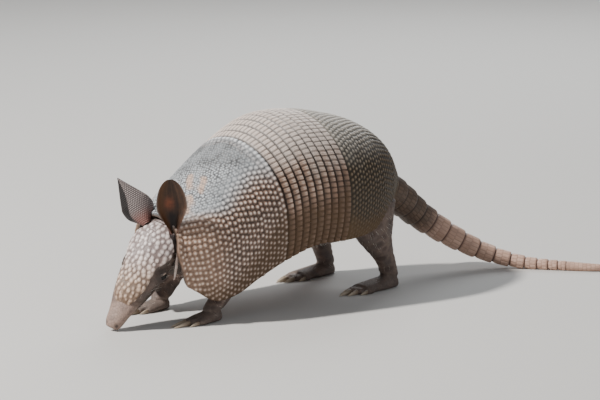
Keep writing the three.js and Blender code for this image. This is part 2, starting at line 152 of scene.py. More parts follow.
def nearest(points, seeds):
    """Distance to the nearest scute centre and its number, for each of an array of points."""
    tree = KDTree(len(seeds))
    for n, seed in enumerate(seeds):
        tree.insert(seed, n)
    tree.balance()
    found = [tree.find(p) for p in points.reshape(-1, 3)]
    gaps = np.array([gap for _, _, gap in found])
    ids = np.array([n for _, n, _ in found])
    return gaps.reshape(points.shape[:-1]), ids.reshape(points.shape[:-1])


def in_scene(name, data):
    """A new object at the origin, linked to the scene."""
    thing = bpy.data.objects.new(name, data)
    bpy.context.scene.collection.objects.link(thing)
    return thing


def in_metres(name, points, faces):
    """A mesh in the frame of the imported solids, from points in millimetres in the animal's own."""
    mesh = bpy.data.meshes.new(name)
    mesh.from_pydata(((points + SHIFT) / 1000).tolist(), [], faces)
    return mesh


def make_piece(name, points, faces, marks, material, nodes, sharp=None):
    """A piece from points in millimetres, with its marks as attributes, riding on the frame."""
    mesh = in_metres(name, points, faces)
    for mark, values in marks.items():
        layer = mesh.attributes.new(mark, "FLOAT", "POINT")
        layer.data.foreach_set("value", np.asarray(values, np.float32).ravel())
    mesh.shade_smooth()
    if sharp:
        mesh.set_sharp_from_angle(angle=math.radians(sharp))
    mesh.materials.append(material)
    piece = in_scene(name, mesh)
    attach(piece, "root")
    if nodes:
        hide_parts(*nodes)


def quads(*corners):
    """Four-sided faces from four like arrays of point numbers."""
    return np.stack(corners, -1).reshape(-1, 4).tolist()


def plate_mesh(outer, inner, step):
    """Points and faces of a closed plate: a fine outer grid and an inner one, step times coarser."""
    rows, cols = outer.shape[:2]
    low_rows, low_cols = inner.shape[:2]
    number = np.arange(rows * cols).reshape(rows, cols)
    under = rows * cols + np.arange(low_rows * low_cols).reshape(low_rows, low_cols)
    faces = quads(number[:-1, :-1], number[:-1, 1:], number[1:, 1:], number[1:, :-1])
    faces += quads(under[:-1, :-1], under[1:, :-1], under[1:, 1:], under[:-1, 1:])
    for fine, coarse in (
        (number[0, ::-1], under[0, ::-1]),
        (number[:, 0], under[:, 0]),
        (number[-1], under[-1]),
        (number[::-1, -1], under[::-1, -1]),
    ):
        for n in range(len(coarse) - 1):
            run = fine[n * step : (n + 1) * step + 1]
            faces.append([int(coarse[n + 1]), int(coarse[n])] + [int(v) for v in run])
    return np.concatenate([outer.reshape(-1, 3), inner.reshape(-1, 3)]), faces


def over_plate(values, inner):
    """A mark for the outer grid, with zero on the hidden inner face."""
    return np.concatenate([values.ravel(), np.zeros(inner.shape[0] * inner.shape[1])])


# Horn is a mix of a dark ground between the scutes and a paler worn top on each, graded up each
# scute's dome so that it also paints shade down its sides, with a painted highlight at the very tip,
# over a soft change of tone along the body and dried soil towards the hem.
class Nodes:
    """A material's node tree, with short ways to add the few kinds of node used here."""

    def __init__(self, name):
        self.material = bpy.data.materials.new(name)
        self.material.use_nodes = True
        self.tree = self.material.node_tree
        self.shader = self.tree.nodes["Principled BSDF"]

    def set(self, node, socket, value):
        """Links an output, or puts a number or a colour on the socket itself."""
        if isinstance(value, bpy.types.NodeSocket):
            self.tree.links.new(value, node.inputs[socket])
        elif isinstance(value, tuple) and len(value) == 3 and node.inputs[socket].type == "RGBA":
            node.inputs[socket].default_value = (*value, 1)
        else:
            node.inputs[socket].default_value = value

    def mark(self, name):
        """A value that the piece's mesh carries at each point."""
        node = self.tree.nodes.new("ShaderNodeAttribute")
        node.attribute_name = name
        return node.outputs["Fac"]

    def place(self):
        return self.tree.nodes.new("ShaderNodeTexCoord").outputs["Object"]

    def noise(self, size_mm, detail=3):
        """A cloudy value about 0.5 with features about one size across."""
        node = self.tree.nodes.new("ShaderNodeTexNoise")
        self.set(node, "Vector", self.place())
        self.set(node, "Scale", 1000 / size_mm)
        self.set(node, "Detail", detail)
        self.set(node, "Roughness", 0.55)
        return node.outputs["Fac"]

    def remap(self, value, low, high, to_low=0.0, to_high=1.0):
        """Eases a value from one span to another, and stops at the span's ends."""
        node = self.tree.nodes.new("ShaderNodeMapRange")
        node.interpolation_type = "SMOOTHSTEP"
        for socket, v in enumerate((value, low, high, to_low, to_high)):
            self.set(node, socket, v)
        return node.outputs["Result"]

    def math(self, kind, a, b=0.0):
        node = self.tree.nodes.new("ShaderNodeMath")
        node.operation = kind
        self.set(node, 0, a)
        self.set(node, 1, b)
        return node.outputs[0]

    def times(self, a, b):
        return self.math("MULTIPLY", a, b)

    def mix(self, share, a, b):
        """A colour between two others. A mix node keeps its colours in inputs 6 and 7."""
        node = self.tree.nodes.new("ShaderNodeMix")
        node.data_type = "RGBA"
        for socket, v in ((0, share), (6, a), (7, b)):
            self.set(node, socket, v)
        return node.outputs[2]

    def bump(self, height, depth_mm, under=None):
        """Fine relief, over other relief where there is some."""
        node = self.tree.nodes.new("ShaderNodeBump")
        self.set(node, "Height", height)
        self.set(node, "Distance", depth_mm / 1000)
        if under is not None:
            self.set(node, "Normal", under)
        return node.outputs["Normal"]

    def finish(self, color, roughness, normal=None, **fixed):
        """Puts colour, roughness, relief and fixed values on the shader, and gives the material."""
        self.set(self.shader, "Base Color", color)
        self.set(self.shader, "Roughness", roughness)
        if normal is not None:
            self.set(self.shader, "Normal", normal)
        for socket, value in fixed.items():
            self.set(self.shader, socket.replace("_", " "), value)
        return self.material


def horn_material(name, ground, top, tip, worn, soil, stain=None):
    """Scuted horn: marks say how far up each scute a point is, its tone, the wear and the soil; tip is a
    painted highlight.
    """
    n = Nodes(name)
    height = n.mark("scute")
    scute = n.remap(height, 0.05, 0.8)
    fine = n.noise(1.6, 4)
    pale = n.mix(n.remap(n.mark("tone"), 0, 1, 0.0, 0.55), top, tuple(0.6 * c for c in top))
    ruddy = tuple(c * k for c, k in zip(top, (0.9, 0.72, 0.6)))
    pale = n.mix(n.remap(n.noise(22), 0.4, 0.65, 0, 0.35), pale, ruddy)
    # Painted shade: the colour climbs from the ground to the pale top along each scute's dome.
    color = n.mix(scute, ground, pale)
    # Painted highlight: the tip colour on the crown of each scute.
    color = n.mix(n.remap(height, 0.6, 1.0, 0, 0.9), color, tip)
    grey = n.mix(n.mark("speck"), tuple(0.12 * c for c in worn), worn)
    grey = n.mix(n.remap(n.noise(16), 0.4, 0.65, 0, 0.3), grey, tuple(0.6 * c for c in worn))
    color = n.mix(n.mark("wear"), color, grey)
    if stain:
        color = n.mix(n.mark("stain"), color, stain)
    dirt = n.math("ADD", n.mark("soil"), n.times(n.noise(3.0, 5), 0.8))
    dirt = n.times(n.remap(dirt, 0.55, 1.35), n.remap(height, 0, 0.8, 0.95, 0.6))
    color = n.mix(dirt, color, soil)
    rough = n.remap(n.math("ADD", dirt, n.times(fine, 0.5)), 0.1, 1.2, 0.42, 0.8)
    relief = n.bump(n.noise(0.5, 2), 0.06, n.bump(fine, 0.25))
    return n.finish(color, rough, relief, Specular_IOR_Level=0.32)


# Beads stand RELIEF over a ground SUNK below the armour's form. Rows are spaced evenly along the
# flank at ROW_LINE. The rim reaches ahead of its station by RIM_REACH, and by NECK_REACH more
# beside the neck, but draws back by HEM_REACH at the hem. Angles here are in degrees.
RELIEF = 1.05
SUNK = 0.45
INNER = 0.2 - SHELL
SHIELD_STEP = 6
ROW_LINE = math.radians(-72)
RIM_REACH = 2.5
NECK_REACH = 5.8
NECK_ANGLE = 84
NECK_SPREAD = 18
HEM_REACH = 4
LINE_STEPS = 241
TYPICAL_RADIUS = 75
SHARP = 60


def lean_forward(x, angle):
    """Stations near the front rim, moved ahead beside the neck as the rim curves forward there.

    The rim stands further ahead on the left, the side the animal turns its head to.
    """
    degrees = np.abs(np.degrees(angle))
    beside_neck = NECK_REACH * np.exp(-(((degrees - NECK_ANGLE) / NECK_SPREAD) ** 2))
    reach = RIM_REACH + beside_neck - HEM_REACH * smooth(104, 121, degrees)
    return x - reach * smooth(-112, RIM_X, x) * smooth(0.5, -0.5, angle)


def run_along(line):
    """Distance of each point of a line from its start."""
    return np.concatenate([[0], np.cumsum(np.linalg.norm(np.diff(line, axis=0), axis=1))])


def bead_seeds(first, last, pitch, row, seed, jitter=0.25):
    """Scute centres in rows across the back, every other row set half a pitch aside."""
    draw = np.random.default_rng(seed)
    seeds = []
    line_x = np.linspace(first, last, LINE_STEPS)
    fan = np.linspace(-1, 1, LINE_STEPS)
    length = run_along(armour(lean_forward(line_x, ROW_LINE), ROW_LINE))
    rows = int(round(length[-1] / row))
    for n in range(rows + 1):
        x = np.interp(length[-1] * n / rows, length, line_x)
        run = run_along(armour(np.full_like(fan, x), flank_angle(x, fan)))
        count = int(round(run[-1] / pitch / 2)) * 2
        at = (np.arange(count + 1) - 0.5 * (n % 2)) * run[-1] / count
        share = np.interp(at[(at > 0) & (at < run[-1])], run, fan)
        nudge = draw.uniform(-jitter, jitter, len(share))
        aside = draw.uniform(-jitter, jitter, len(share)) / TYPICAL_RADIUS
        angle = flank_angle(x, share) + aside
        seeds.append(armour(lean_forward(x + nudge, angle), angle))
    return np.concatenate(seeds)


def armour_sheet(first, last, rows, cols):
    """Stations and angles of a fine grid over the armour, coarse cells times SHIELD_STEP."""
    xs = np.linspace(first, last, rows * SHIELD_STEP + 1)[:, None]
    shares = np.linspace(-1, 1, cols * SHIELD_STEP + 1)[None, :]
    x = xs + 0 * shares
    angle = flank_angle(x, shares)
    return lean_forward(x, angle), angle


def saddle(name, node, horn, x, angle, lift, marks):
    """One shield: its outer face raised by the lift, and a plain inner face below."""
    coarse = (slice(None, None, SHIELD_STEP), slice(None, None, SHIELD_STEP))
    inner = armour(x[coarse], angle[coarse], INNER)
    points, faces = plate_mesh(armour(x, angle, lift), inner, SHIELD_STEP)
    marks = {k: over_plate(v, inner) for k, v in marks.items()}
    make_piece(name, points, faces, marks, horn, [node], SHARP)


def soil_mark(points, full, none):
    """Dried soil: strongest near the hem, fading to nothing higher up."""
    return smooth(none, full, points[..., 2] + 6 * noise(points, 25, 5))


def dome(distance, radius):
    """Height of a round bead, from 1 at its middle to 0 at its edge."""
    return np.sqrt(np.clip(1 - (distance / radius) ** 2, 0, 1))


def streak(points, start, stop, width):
    """A soft ragged streak on the armour between two places, each a station and an angle."""
    first, last = (armour(float(at), math.radians(degrees)) for at, degrees in (start, stop))
    way = last - first
    share = np.clip((points - first) @ way / (way @ way), 0, 1)
    away = np.linalg.norm(points - first - share[..., None] * way, axis=-1)
    return smooth(width, 0, away + 0.45 * width * noise(points, 5, 9))


shield_horn = horn_material(
    "shield_horn",
    ground=(0.095, 0.062, 0.047),
    top=(0.40, 0.275, 0.215),
    tip=(0.95, 0.82, 0.73),
    worn=(0.76, 0.81, 0.85),
    soil=(0.105, 0.066, 0.040),
    stain=(0.70, 0.44, 0.30),
)

BEAD = dict(pitch=5.3, row=4.7, radius=2.6)
PEBBLE = dict(pitch=3.0, row=2.7, radius=1.4)
STAINS = (((-103, 1), (-116, -9), 6), ((-102, -13), (-115, -23), 5.5), ((-126, -20), (-137, -34), 6))
x, angle = armour_sheet(RIM_X, BAND_X - GAP, 27, 68)
face = armour(x, angle)
seeds = bead_seeds(RIM_X + 2.2, BAND_X - 2.9, BEAD["pitch"], BEAD["row"], 11, 0.5)
gaps, ids = nearest(face, seeds)
tones = np.random.default_rng(3).uniform(0, 1, len(seeds))

# The back is worn: its beads are ground down to pebbles, and grey shows a little beyond them. Where
# it is worn goes by the angle from the ridge, by the station, and by the height above the floor.
wander = 7 * noise(face, 24, 8)
steep = np.abs(np.degrees(angle)) + wander + 8 * smooth(-95, -125, x)
wear = smooth(52, 32, steep) * smooth(-54, -62, x + 0.5 * wander)
greyed = smooth(64, 38, steep) * smooth(-54, -64, x + 0.5 * wander)
ruddy = 0.24 * smooth(-108, -138, x) * smooth(34, 56, steep)
last_row = smooth(BAND_X - 6.2, BAND_X - 5.2, x)
bead = dome(gaps, BEAD["radius"] + 0.4 * last_row)
pebbles = bead_seeds(RIM_X + 1, BAND_X - 3, PEBBLE["pitch"], PEBBLE["row"], 12, 0.7)
pebble_gaps, _ = nearest(face, pebbles)
pebble = dome(pebble_gaps, PEBBLE["radius"])
rim = smooth(0.9, 0.1, BAND_X - GAP - x)
lift = RELIEF * (bead * (1 - 0.75 * wear) + 0.3 * pebble * (0.35 + 0.65 * wear)) - SUNK - 0.3 * rim
soil_top = np.interp(x, (-125, -56), (48, 112))
on_back = 0.8 * smooth(116, 146, face[..., 2])
# Painted shade: the grey of the worn patch darkens towards its rear.
painted_shade_rear = 1 - 0.68 * smooth(-112, -74, x + 10 * noise(face, 20, 10))
marks = {
    # Bead heights, eased so that the colour paints shade down each bead's sides.
    "scute": np.maximum(bead**2.5, 0.42 * pebble**2),
    "tone": tones[ids],
    "wear": np.maximum(greyed * 0.94, on_back),
    "speck": wear * pebble**3 * painted_shade_rear + (1 - wear) * (0.12 + 0.88 * bead**3),
    "soil": 0.9 * soil_mark(face, soil_top - 36, soil_top),
    "stain": ruddy + 0.95 * (0.3 + 0.7 * pebble**2) * sum(streak(face, *ends) for ends in STAINS),
}
saddle("armour_shoulder", "shoulder_shield", shield_horn, x, angle, lift, marks)

# ---------------------------------------------------------------- pelvic shield
# The second saddle, over the hips. Its beads are smaller, on a darker olive ground, and it ends in
# a smooth brown rim round the root of the tail.
rump_horn = horn_material(
    "rump_horn",
    ground=(0.036, 0.025, 0.014),
    top=(0.165, 0.118, 0.072),
    tip=(0.37, 0.29, 0.20),
    worn=(0.62, 0.57, 0.50),
    soil=(0.130, 0.083, 0.047),
)
RUMP_START = BAND_X + BANDS * BAND_PITCH
RUMP_BEAD = dict(pitch=5.0, row=4.6, radii=(2.3, 1.85))
x, angle = armour_sheet(RUMP_START, RUMP_X, 31, 66)
face = armour(x, angle)
seeds = bead_seeds(RUMP_START + 3.0, RUMP_X - 5.0, RUMP_BEAD["pitch"], RUMP_BEAD["row"], 21)
gaps, ids = nearest(face, seeds)
tones = np.random.default_rng(4).uniform(0, 1, len(seeds))
rim = smooth(6.5, 3.5, RUMP_X - x)
bead = dome(gaps, np.interp(x, (RUMP_START, RUMP_X), RUMP_BEAD["radii"])) * (1 - rim)
first_row = smooth(2.4, 0.4, x - RUMP_START)
# The ridge is paler and the beads dim lower down: partly worn horn, partly painted light, with the top lit
# and the flanks in painted shade.
on_back = smooth(124, 156, face[..., 2] + 5 * noise(face, 12, 22))
lift = RELIEF * 0.9 * bead - SUNK + 0.3 * rim - 0.4 * first_row
marks = {
    "scute": bead**2.4 * (0.7 + 0.3 * smooth(96, 136, face[..., 2])),
    "tone": tones[ids],
    "wear": 0.8 * on_back * (1 - rim),
    "speck": bead**2 + 0.3 * on_back * (1 - bead**2),
    "soil": np.maximum(0.9 * rim, 0.85 * soil_mark(face, 60, 104)),
}
saddle("armour_rump", "pelvic_shield", rump_horn, x, angle, lift, marks)

# ---------------------------------------------------------------- bands
# Nine movable hoops of horn over bone, each tucked under the one before. A hoop is a row of raised
# blocks about 5 mm wide, split by slanting grooves and ridged along, with a narrow dark groove
# between it and the hoop in front.
band_horn = horn_material(
    "band_horn",
    ground=(0.045, 0.026, 0.018),
    top=(0.46, 0.30, 0.22),
    tip=(0.80, 0.62, 0.51),
    worn=(0.88, 0.79, 0.72),
    soil=(0.112, 0.068, 0.038),
)
BLOCK = 5.1
BAND_COLS = 760
BAND_UNDER = -3.4
GROOVE_WIDE = 1.9
GROOVE_ROUND = 1.95
GROOVE_DEEP = 0.75
STRIPES = 3
STRIPE_DEEP = 0.11
BLOCK_SLANT = 0.20
BLOCK_TURN = 0.12
BAND_SHARP = 50
# The section of a hoop from front to back: share of its depth, and height over the armour's face.
band_profile = np.array(
    [(0.0, BAND_UNDER), (0.0, -1.9), (0.05, -1.45), (0.10, -1.05), (0.15, -0.60), (0.20, -0.30)]
    + [(0.26, -0.12), (0.36, 0.0), (0.50, 0.10), (0.64, 0.16), (0.78, 0.16), (0.89, 0.06)]
    + [(0.96, -0.25), (1.0, -0.75), (1.0, BAND_UNDER), (0.5, BAND_UNDER)]
)

for number in range(BANDS):
    front = BAND_X + number * BAND_PITCH
    share = np.linspace(-1, 1, BAND_COLS + 1)[:, None]
    depth = band_profile[None, :, 0]
    x = front + depth * (BAND_PITCH - GAP) + 0 * share
    angle = flank_angle(x, share)
    base = armour(x, angle)
    middle = armour(front + BAND_PITCH / 2 + 0 * share, flank_angle(front, share))
    run = run_along(middle[:, 0])
    count = run / (run[-1] / round(run[-1] / BLOCK))
    draw = np.random.default_rng(100 + number)

    # Blocks are counted along the hoop. Each is turned a little, with a slanting groove on each side
    # and low ridges from front to back.
    turns = draw.uniform(-BLOCK_TURN, BLOCK_TURN, int(count[-1]) + 3)
    place = count[:, None] + BLOCK_SLANT * (depth - 0.55)
    block = np.floor(place).astype(int)
    inside = place - block + turns[block + 1] * (depth - 0.5)
    edge = np.minimum(inside, 1 - inside) * BLOCK
    groove = 1 - dome(np.maximum(GROOVE_WIDE - edge, 0), GROOVE_ROUND)
    crest = smooth(0.08, 0.24, depth) * smooth(1.02, 0.9, depth) + 0 * share
    stripe = np.cos(2 * math.pi * STRIPES * inside + 1.5 * np.sin(block * 2.3))
    lift = band_profile[None, :, 1] + (STRIPE_DEEP * stripe - GROOVE_DEEP * groove) * crest + 0 * share
    points = armour(x, angle, lift).reshape(-1, 3)
    ring = np.arange(len(points)).reshape(BAND_COLS + 1, len(band_profile))
    turned = np.roll(ring, -1, axis=1)
    faces = quads(ring[:-1], ring[1:], turned[1:], turned[:-1])
    faces += [ring[0].tolist(), ring[-1][::-1].tolist()]
    tones = draw.uniform(0, 1, int(count[-1]) + 3)
    # Tops are paler, and the soil and the dull low tone reach higher towards the rump, partly soil and
    # partly painted shade on the rear flank; each block has its own tone.
    soil_and_shade_rise = 26 * smooth(-30, 28, x)
    fade = smooth(84, 112, base[..., 2] - soil_and_shade_rise + 7 * noise(base, 18, 31))
    on_back = smooth(120, 158, base[..., 2] + 5 * noise(base, 14, 32))
    smudge = smooth(0.55, 1.1, noise(base, 13, 33)) * smooth(104, 88, base[..., 2])
    # Painted shade and highlight: each block is darker at its front, under the hoop before it, and paler
    # towards its rear edge.
    rise = smooth(0.1, 0.8, depth) * (1 - 0.2 * smooth(0.85, 1.0, depth))
    block_top = crest * (1 - groove) ** 1.3 * (0.9 + 0.1 * stripe)
    marks = {
        "scute": block_top * (0.55 + 0.45 * fade) * (0.5 + 0.5 * rise),
        "tone": tones[block + 1],
        "wear": 0.7 * on_back,
        "speck": (0.12 + 0.88 * crest) * (1 - groove) ** 2 * (0.88 + 0.12 * stripe),
        "soil": np.maximum(0.72 * soil_mark(base - soil_and_shade_rise[..., None], 76, 120), 0.9 * smudge),
    }
    name = f"armour_band_{number + 1}"
    make_piece(name, points, faces, marks, band_horn, [f"band_{number + 1}"], BAND_SHARP)

# ---------------------------------------------------------------- face shield
# The horny shield on the forehead and muzzle: irregular close-set plates, pale and smooth on the
# brow and browner towards the snout, with a painted highlight on each plate's crown and painted
# shade along the edge where it meets the skin.
#
# The head points down and forward and is turned a little to the left. Its sections give half
# width, brow line (roof) and jaw along the axis from the back of the skull to the nose.
CROWN = np.array([-163.8, -17, 91.7])
HEAD_PITCH = math.radians(56)
HEAD_YAW = math.radians(8)
HEAD_ROLL = math.radians(28)
HEAD = {
    "x": (-15, -9, 4, 20, 38, 54, 70, 86, 97, 101.5),
    "half": (9, 15, 20, 22.5, 22, 20, 16, 11, 8.6, 6.4),
    "roof": (-16, -9.5, -1, 1.2, 0.6, -1.6, -3, -3.6, -3.4, -5.4),
    "jaw": (24, 29, 32, 33, 29.5, 25, 20.5, 17.2, 16, 14),
}
MASK = {
    "x": (-3, 3, 11, 21, 30, 37, 46, 58, 70, 80),
    "half": (7.5, 12.5, 20.5, 23.5, 21.5, 18, 16.8, 16, 12.6, 9),
}
MASK_THICK = 1.6
MASK_LIFT = 1.0

nose_way = np.array(
    [
        -math.cos(HEAD_PITCH) * math.cos(HEAD_YAW),
        math.cos(HEAD_PITCH) * math.sin(HEAD_YAW),
        -math.sin(HEAD_PITCH),
    ]
)
level = np.array([-math.sin(HEAD_YAW), -math.cos(HEAD_YAW), 0.0])
brow = np.cross(nose_way, level)
face_up = brow * math.cos(HEAD_ROLL) + level * math.sin(HEAD_ROLL)
face_left = level * math.cos(HEAD_ROLL) - brow * math.sin(HEAD_ROLL)


def in_head(axial, side, up):
    """A point by distance along the head, to its left and above its axis."""
    axial, side, up = np.broadcast_arrays(*(np.asarray(a, float) for a in (axial, side, up)))
    return CROWN + axial[..., None] * nose_way + side[..., None] * face_left + up[..., None] * face_up


def head_point(u, angle, lift=0.0):
    """A point of the head, by distance along its axis and angle round from the brow."""
    roof = along(HEAD, "roof", u)
    jaw = along(HEAD, "jaw", u)
    middle = roof - (roof + jaw) * 0.42
    up = np.where(np.cos(angle) > 0, roof - middle + lift, middle + jaw + lift)
    half = along(HEAD, "half", u) + lift
    return in_head(u, half * np.sin(angle), middle + up * np.cos(angle))


def head_coordinates(points):
    """Distance along the head, to its left side and above its axis, for points near the head."""
    from_crown = points - CROWN
    return from_crown @ nose_way, from_crown @ face_left, from_crown @ face_up


def face_horn_material():
    n = Nodes("face_horn")
    plate_top = n.remap(n.mark("scute"), 0.05, 0.8)
    low = n.remap(n.mark("down"), 0.25, 0.8)
    cool = n.mix(n.mark("tone"), (0.56, 0.46, 0.42), (0.38, 0.325, 0.32))
    warm = n.mix(n.mark("tone"), (0.54, 0.37, 0.265), (0.38, 0.25, 0.175))
    top = n.mix(low, cool, warm)
    top = n.mix(n.remap(n.noise(9, 4), 0.45, 0.7, 0, 0.5), top, (0.30, 0.24, 0.215))
    color = n.mix(plate_top, n.mix(low, (0.215, 0.165, 0.155), (0.175, 0.115, 0.08)), top)
    # Painted highlight: the crowns of the plates go to near white.
    worn = n.mix(low, (0.86, 0.78, 0.74), (0.78, 0.60, 0.48))
    color = n.mix(n.remap(n.mark("scute"), 0.72, 1.0, 0, 0.75), color, worn)
    # Painted shade along the sunk seam where the shield meets the skin.
    color = n.mix(n.mark("edge"), color, (0.06, 0.045, 0.04))
    soil = n.times(n.remap(n.mark("down"), 0.62, 1.0), n.remap(n.noise(5, 5), 0.35, 0.6))
    color = n.mix(soil, color, (0.16, 0.10, 0.065))
    fine = n.noise(1.1, 4)
    rough = n.remap(n.math("ADD", soil, n.times(fine, 0.4)), 0.1, 1.0, 0.34, 0.75)
    return n.finish(color, rough, n.bump(n.noise(0.5, 3), 0.08, n.bump(fine, 0.3)))


face_horn = face_horn_material()
FACE_STEP = 6
FACE_PLATE = 4.9
FACE_ROW = 4.5
FACE_STRETCH = 1.25
FACE_TOP = MASK_LIFT + MASK_THICK


def mask_angle(u):
    """How far round the head the shield reaches on either side."""
    share = along(MASK, "half", u) / (along(HEAD, "half", u) + FACE_TOP)
    return np.arcsin(np.minimum(share, 0.985))


def face_seeds(seed):
    """Plate centres on the face, in loose rows from brow to snout."""
    draw = np.random.default_rng(seed)
    seeds = []
    for n, u in enumerate(np.arange(MASK["x"][0] + 1.5, MASK["x"][-1], FACE_ROW)):
        half = float(along(MASK, "half", u))
        count = max(int(round(2 * half / FACE_PLATE)), 2)
        side = (np.arange(count + 1) - 0.5 * (n % 2)) / count * 2 - 1
        side = side + draw.uniform(-0.2, 0.2, len(side)) * FACE_PLATE / half
        us = u + draw.uniform(-0.3, 0.3, len(side)) * FACE_PLATE
        seeds.append(head_point(us, side * mask_angle(us), FACE_TOP))
    return np.concatenate(seeds)


mask_start, mask_end = MASK["x"][0], MASK["x"][-1]
turn = np.linspace(-1, 1, 14 * FACE_STEP + 1)[None, :]
u = np.linspace(mask_start, mask_end, 24 * FACE_STEP + 1)[:, None] + 0 * turn
angle = turn * mask_angle(u)
face = head_point(u, angle, FACE_TOP)
seeds = face_seeds(41)
squeeze = np.outer(nose_way, nose_way) * (1 / FACE_STRETCH - 1) + np.eye(3)
gaps, ids = nearest(face @ squeeze, seeds @ squeeze)
draw = np.random.default_rng(42)
tones = draw.uniform(0, 1, len(seeds))
sizes = draw.uniform(1.75, 2.55, len(seeds))
plate_top = dome(gaps, sizes[ids])
half = along(MASK, "half", u)
to_edge = np.minimum(np.minimum((1 - np.abs(turn)) * half, u - mask_start), mask_end - u)
rim = smooth(2.2, 0.0, to_edge)
snout = smooth(mask_end - 9, mask_end, u)
lift = FACE_TOP - SUNK + 0.62 * plate_top * (1 - 0.6 * snout) - rim - 3.0 * snout
outer = head_point(u, angle, lift)
low = (slice(None, None, FACE_STEP), slice(None, None, FACE_STEP))
inner = head_point(u[low], angle[low], MASK_LIFT - 0.8 - 2.2 * snout[low])
points, faces = plate_mesh(outer, inner, FACE_STEP)
marks = {
    "scute": plate_top,
    "tone": tones[ids],
    "down": (u - mask_start) / (mask_end - mask_start) + 0.1 * noise(face, 20, 43),
    "edge": 0.8 * smooth(1.5, 0.3, to_edge) * smooth(60, 35, u),
}
marks = {k: over_plate(v, inner) for k, v in marks.items()}
make_piece("face_shield", points, faces, marks, face_horn, ["head_shield"], SHARP)

# ---------------------------------------------------------------- ears
# Two stiff leaves of gristle, rolled to a funnel at the root and opening to a cup. The back is
# finely scaled and grey, the hollow dark brown and bare, ruddy in the middle.
# An ear's root is placed by along and side. tip and face are shares of the ways back, up and to its
# own side, and roll turns it about its length. leaf is its greatest half width, opening, fullest,
# taper and point shape its outline, and strip is where the dark front edge of the back begins.
EARS = {
    "left": dict(
        sign=1, along=1, side=14, tip=(0.78, 0.6, -0.28), face=(-0.5, 0.84, 0.5),
        roll=8, leaf=15.5, opening=1.75, fullest=0.45, taper=2.3, point=0.5, strip=0.55,
    ),
    "right": dict(
        sign=-1, along=3, side=16, tip=(0.376, 0.174, 0.584), face=(0.35, -0.75, 0.6),
        roll=-6.6, leaf=20.5, opening=2.81, fullest=0.24, taper=1.15, point=1.05, strip=0.40,
    ),
}
EAR_LENGTH = 50
EAR_THICK = 1.3
EAR_DOWN = 5
EAR_SCALE = 1.75
EAR_BOW = 1.5
CURL_ROOT = 128
CURL_LEAF = 46
EAR_SHARP = 70


def ear_material():
    n = Nodes("ear_skin")
    inside = n.mark("inside")
    up = n.mark("up")
    across = n.mark("across")

    # The back is tiled with small round scales in staggered rows, ruddy at the root.
    row = n.times(up, EAR_LENGTH / EAR_SCALE)
    aside = n.times(n.math("FLOOR", row), 0.5)
    column = n.math("FRACT", n.math("ADD", n.times(n.mark("reach"), 1 / EAR_SCALE), aside))
    dome_up = n.math("SINE", n.times(n.math("FRACT", row), math.pi))
    dome_mark = n.times(dome_up, n.math("SINE", n.times(column, math.pi)))
    back = n.mix(n.remap(dome_mark, 0.15, 0.95), (0.052, 0.042, 0.042), (0.36, 0.30, 0.285))
    back = n.mix(n.remap(n.noise(9), 0.4, 0.65, 0, 0.4), back, (0.13, 0.10, 0.098))
    back = n.mix(n.remap(up, 0.34, 0.06, 0, 0.75), back, (0.20, 0.072, 0.055))
    back = n.mix(n.mark("front"), back, (0.010, 0.007, 0.007))

    # The hollow is dark brown, streaked along, with a ruddy patch, one half paler orange as painted light,
    # and painted shade deep in the funnel at the root.
    hollow = n.mix(n.remap(n.noise(6, 4), 0.35, 0.65), (0.030, 0.015, 0.009), (0.050, 0.023, 0.012))
    # Painted light: one half of the hollow is paler orange where light falls on it, and the other half
    # stays dark as painted shade.
    hollow = n.mix(n.remap(across, -0.1, -0.75, 0, 0.8), hollow, (0.105, 0.044, 0.016))
    ruddy = n.times(n.mark("patch"), n.remap(n.noise(5, 3), 0.3, 0.6, 0.5, 1))
    streaks = n.math("SINE", n.times(across, 17.0))
    hollow = n.mix(n.remap(streaks, 0.2, 1.0, 0, 0.3), hollow, (0.105, 0.05, 0.026))
    hollow = n.mix(ruddy, hollow, (0.25, 0.072, 0.032))
    # Painted shade: near black deep in the funnel at the root.
    root_funnel_shade = n.times(n.remap(up, 0.46, 0.30), n.remap(n.mark("off_middle"), 0.55, 0.1))
    hollow = n.mix(root_funnel_shade, hollow, (0.012, 0.006, 0.005))
    color = n.mix(inside, back, hollow)
    color = n.mix(n.mark("rim"), color, (0.16, 0.115, 0.095))
    relief = n.bump(n.times(dome_mark, n.math("SUBTRACT", 1.0, inside)), 0.4)
    relief = n.bump(n.noise(1.2, 4), 0.14, relief)
    return n.finish(color, n.remap(inside, 0, 1, 0.6, 0.5), relief, Specular_IOR_Level=0.35)


ear_skin = ear_material()
EAR_ROWS = 84
EAR_COLS = 56
REACH_START = 40  # keeps the distance across the leaf above nothing on both sides


def ear_way(ear, name):
    """One of an ear's ways, from its shares back, up and to its own side."""
    backward, upward, outward = ear[name]
    return unit(-backward * nose_way + upward * face_up + ear["sign"] * outward * face_left)


def turned_about(v, axis, degrees):
    """A vector turned about an axis."""
    a = math.radians(degrees)
    return v * math.cos(a) + np.cross(axis, v) * math.sin(a) + axis * (axis @ v) * (1 - math.cos(a))


def leaf_width(ear, v):
    """Half the width of an ear's leaf, by share of its length from the root."""
    swell = 0.36 + 0.64 * np.sin(np.minimum(v * ear["opening"], 1) * math.pi / 2)
    beyond = np.maximum((v - ear["fullest"]) / (1.01 - ear["fullest"]), 0)
    return ear["leaf"] * swell * np.maximum(1 - beyond ** ear["taper"], 0.012) ** ear["point"]


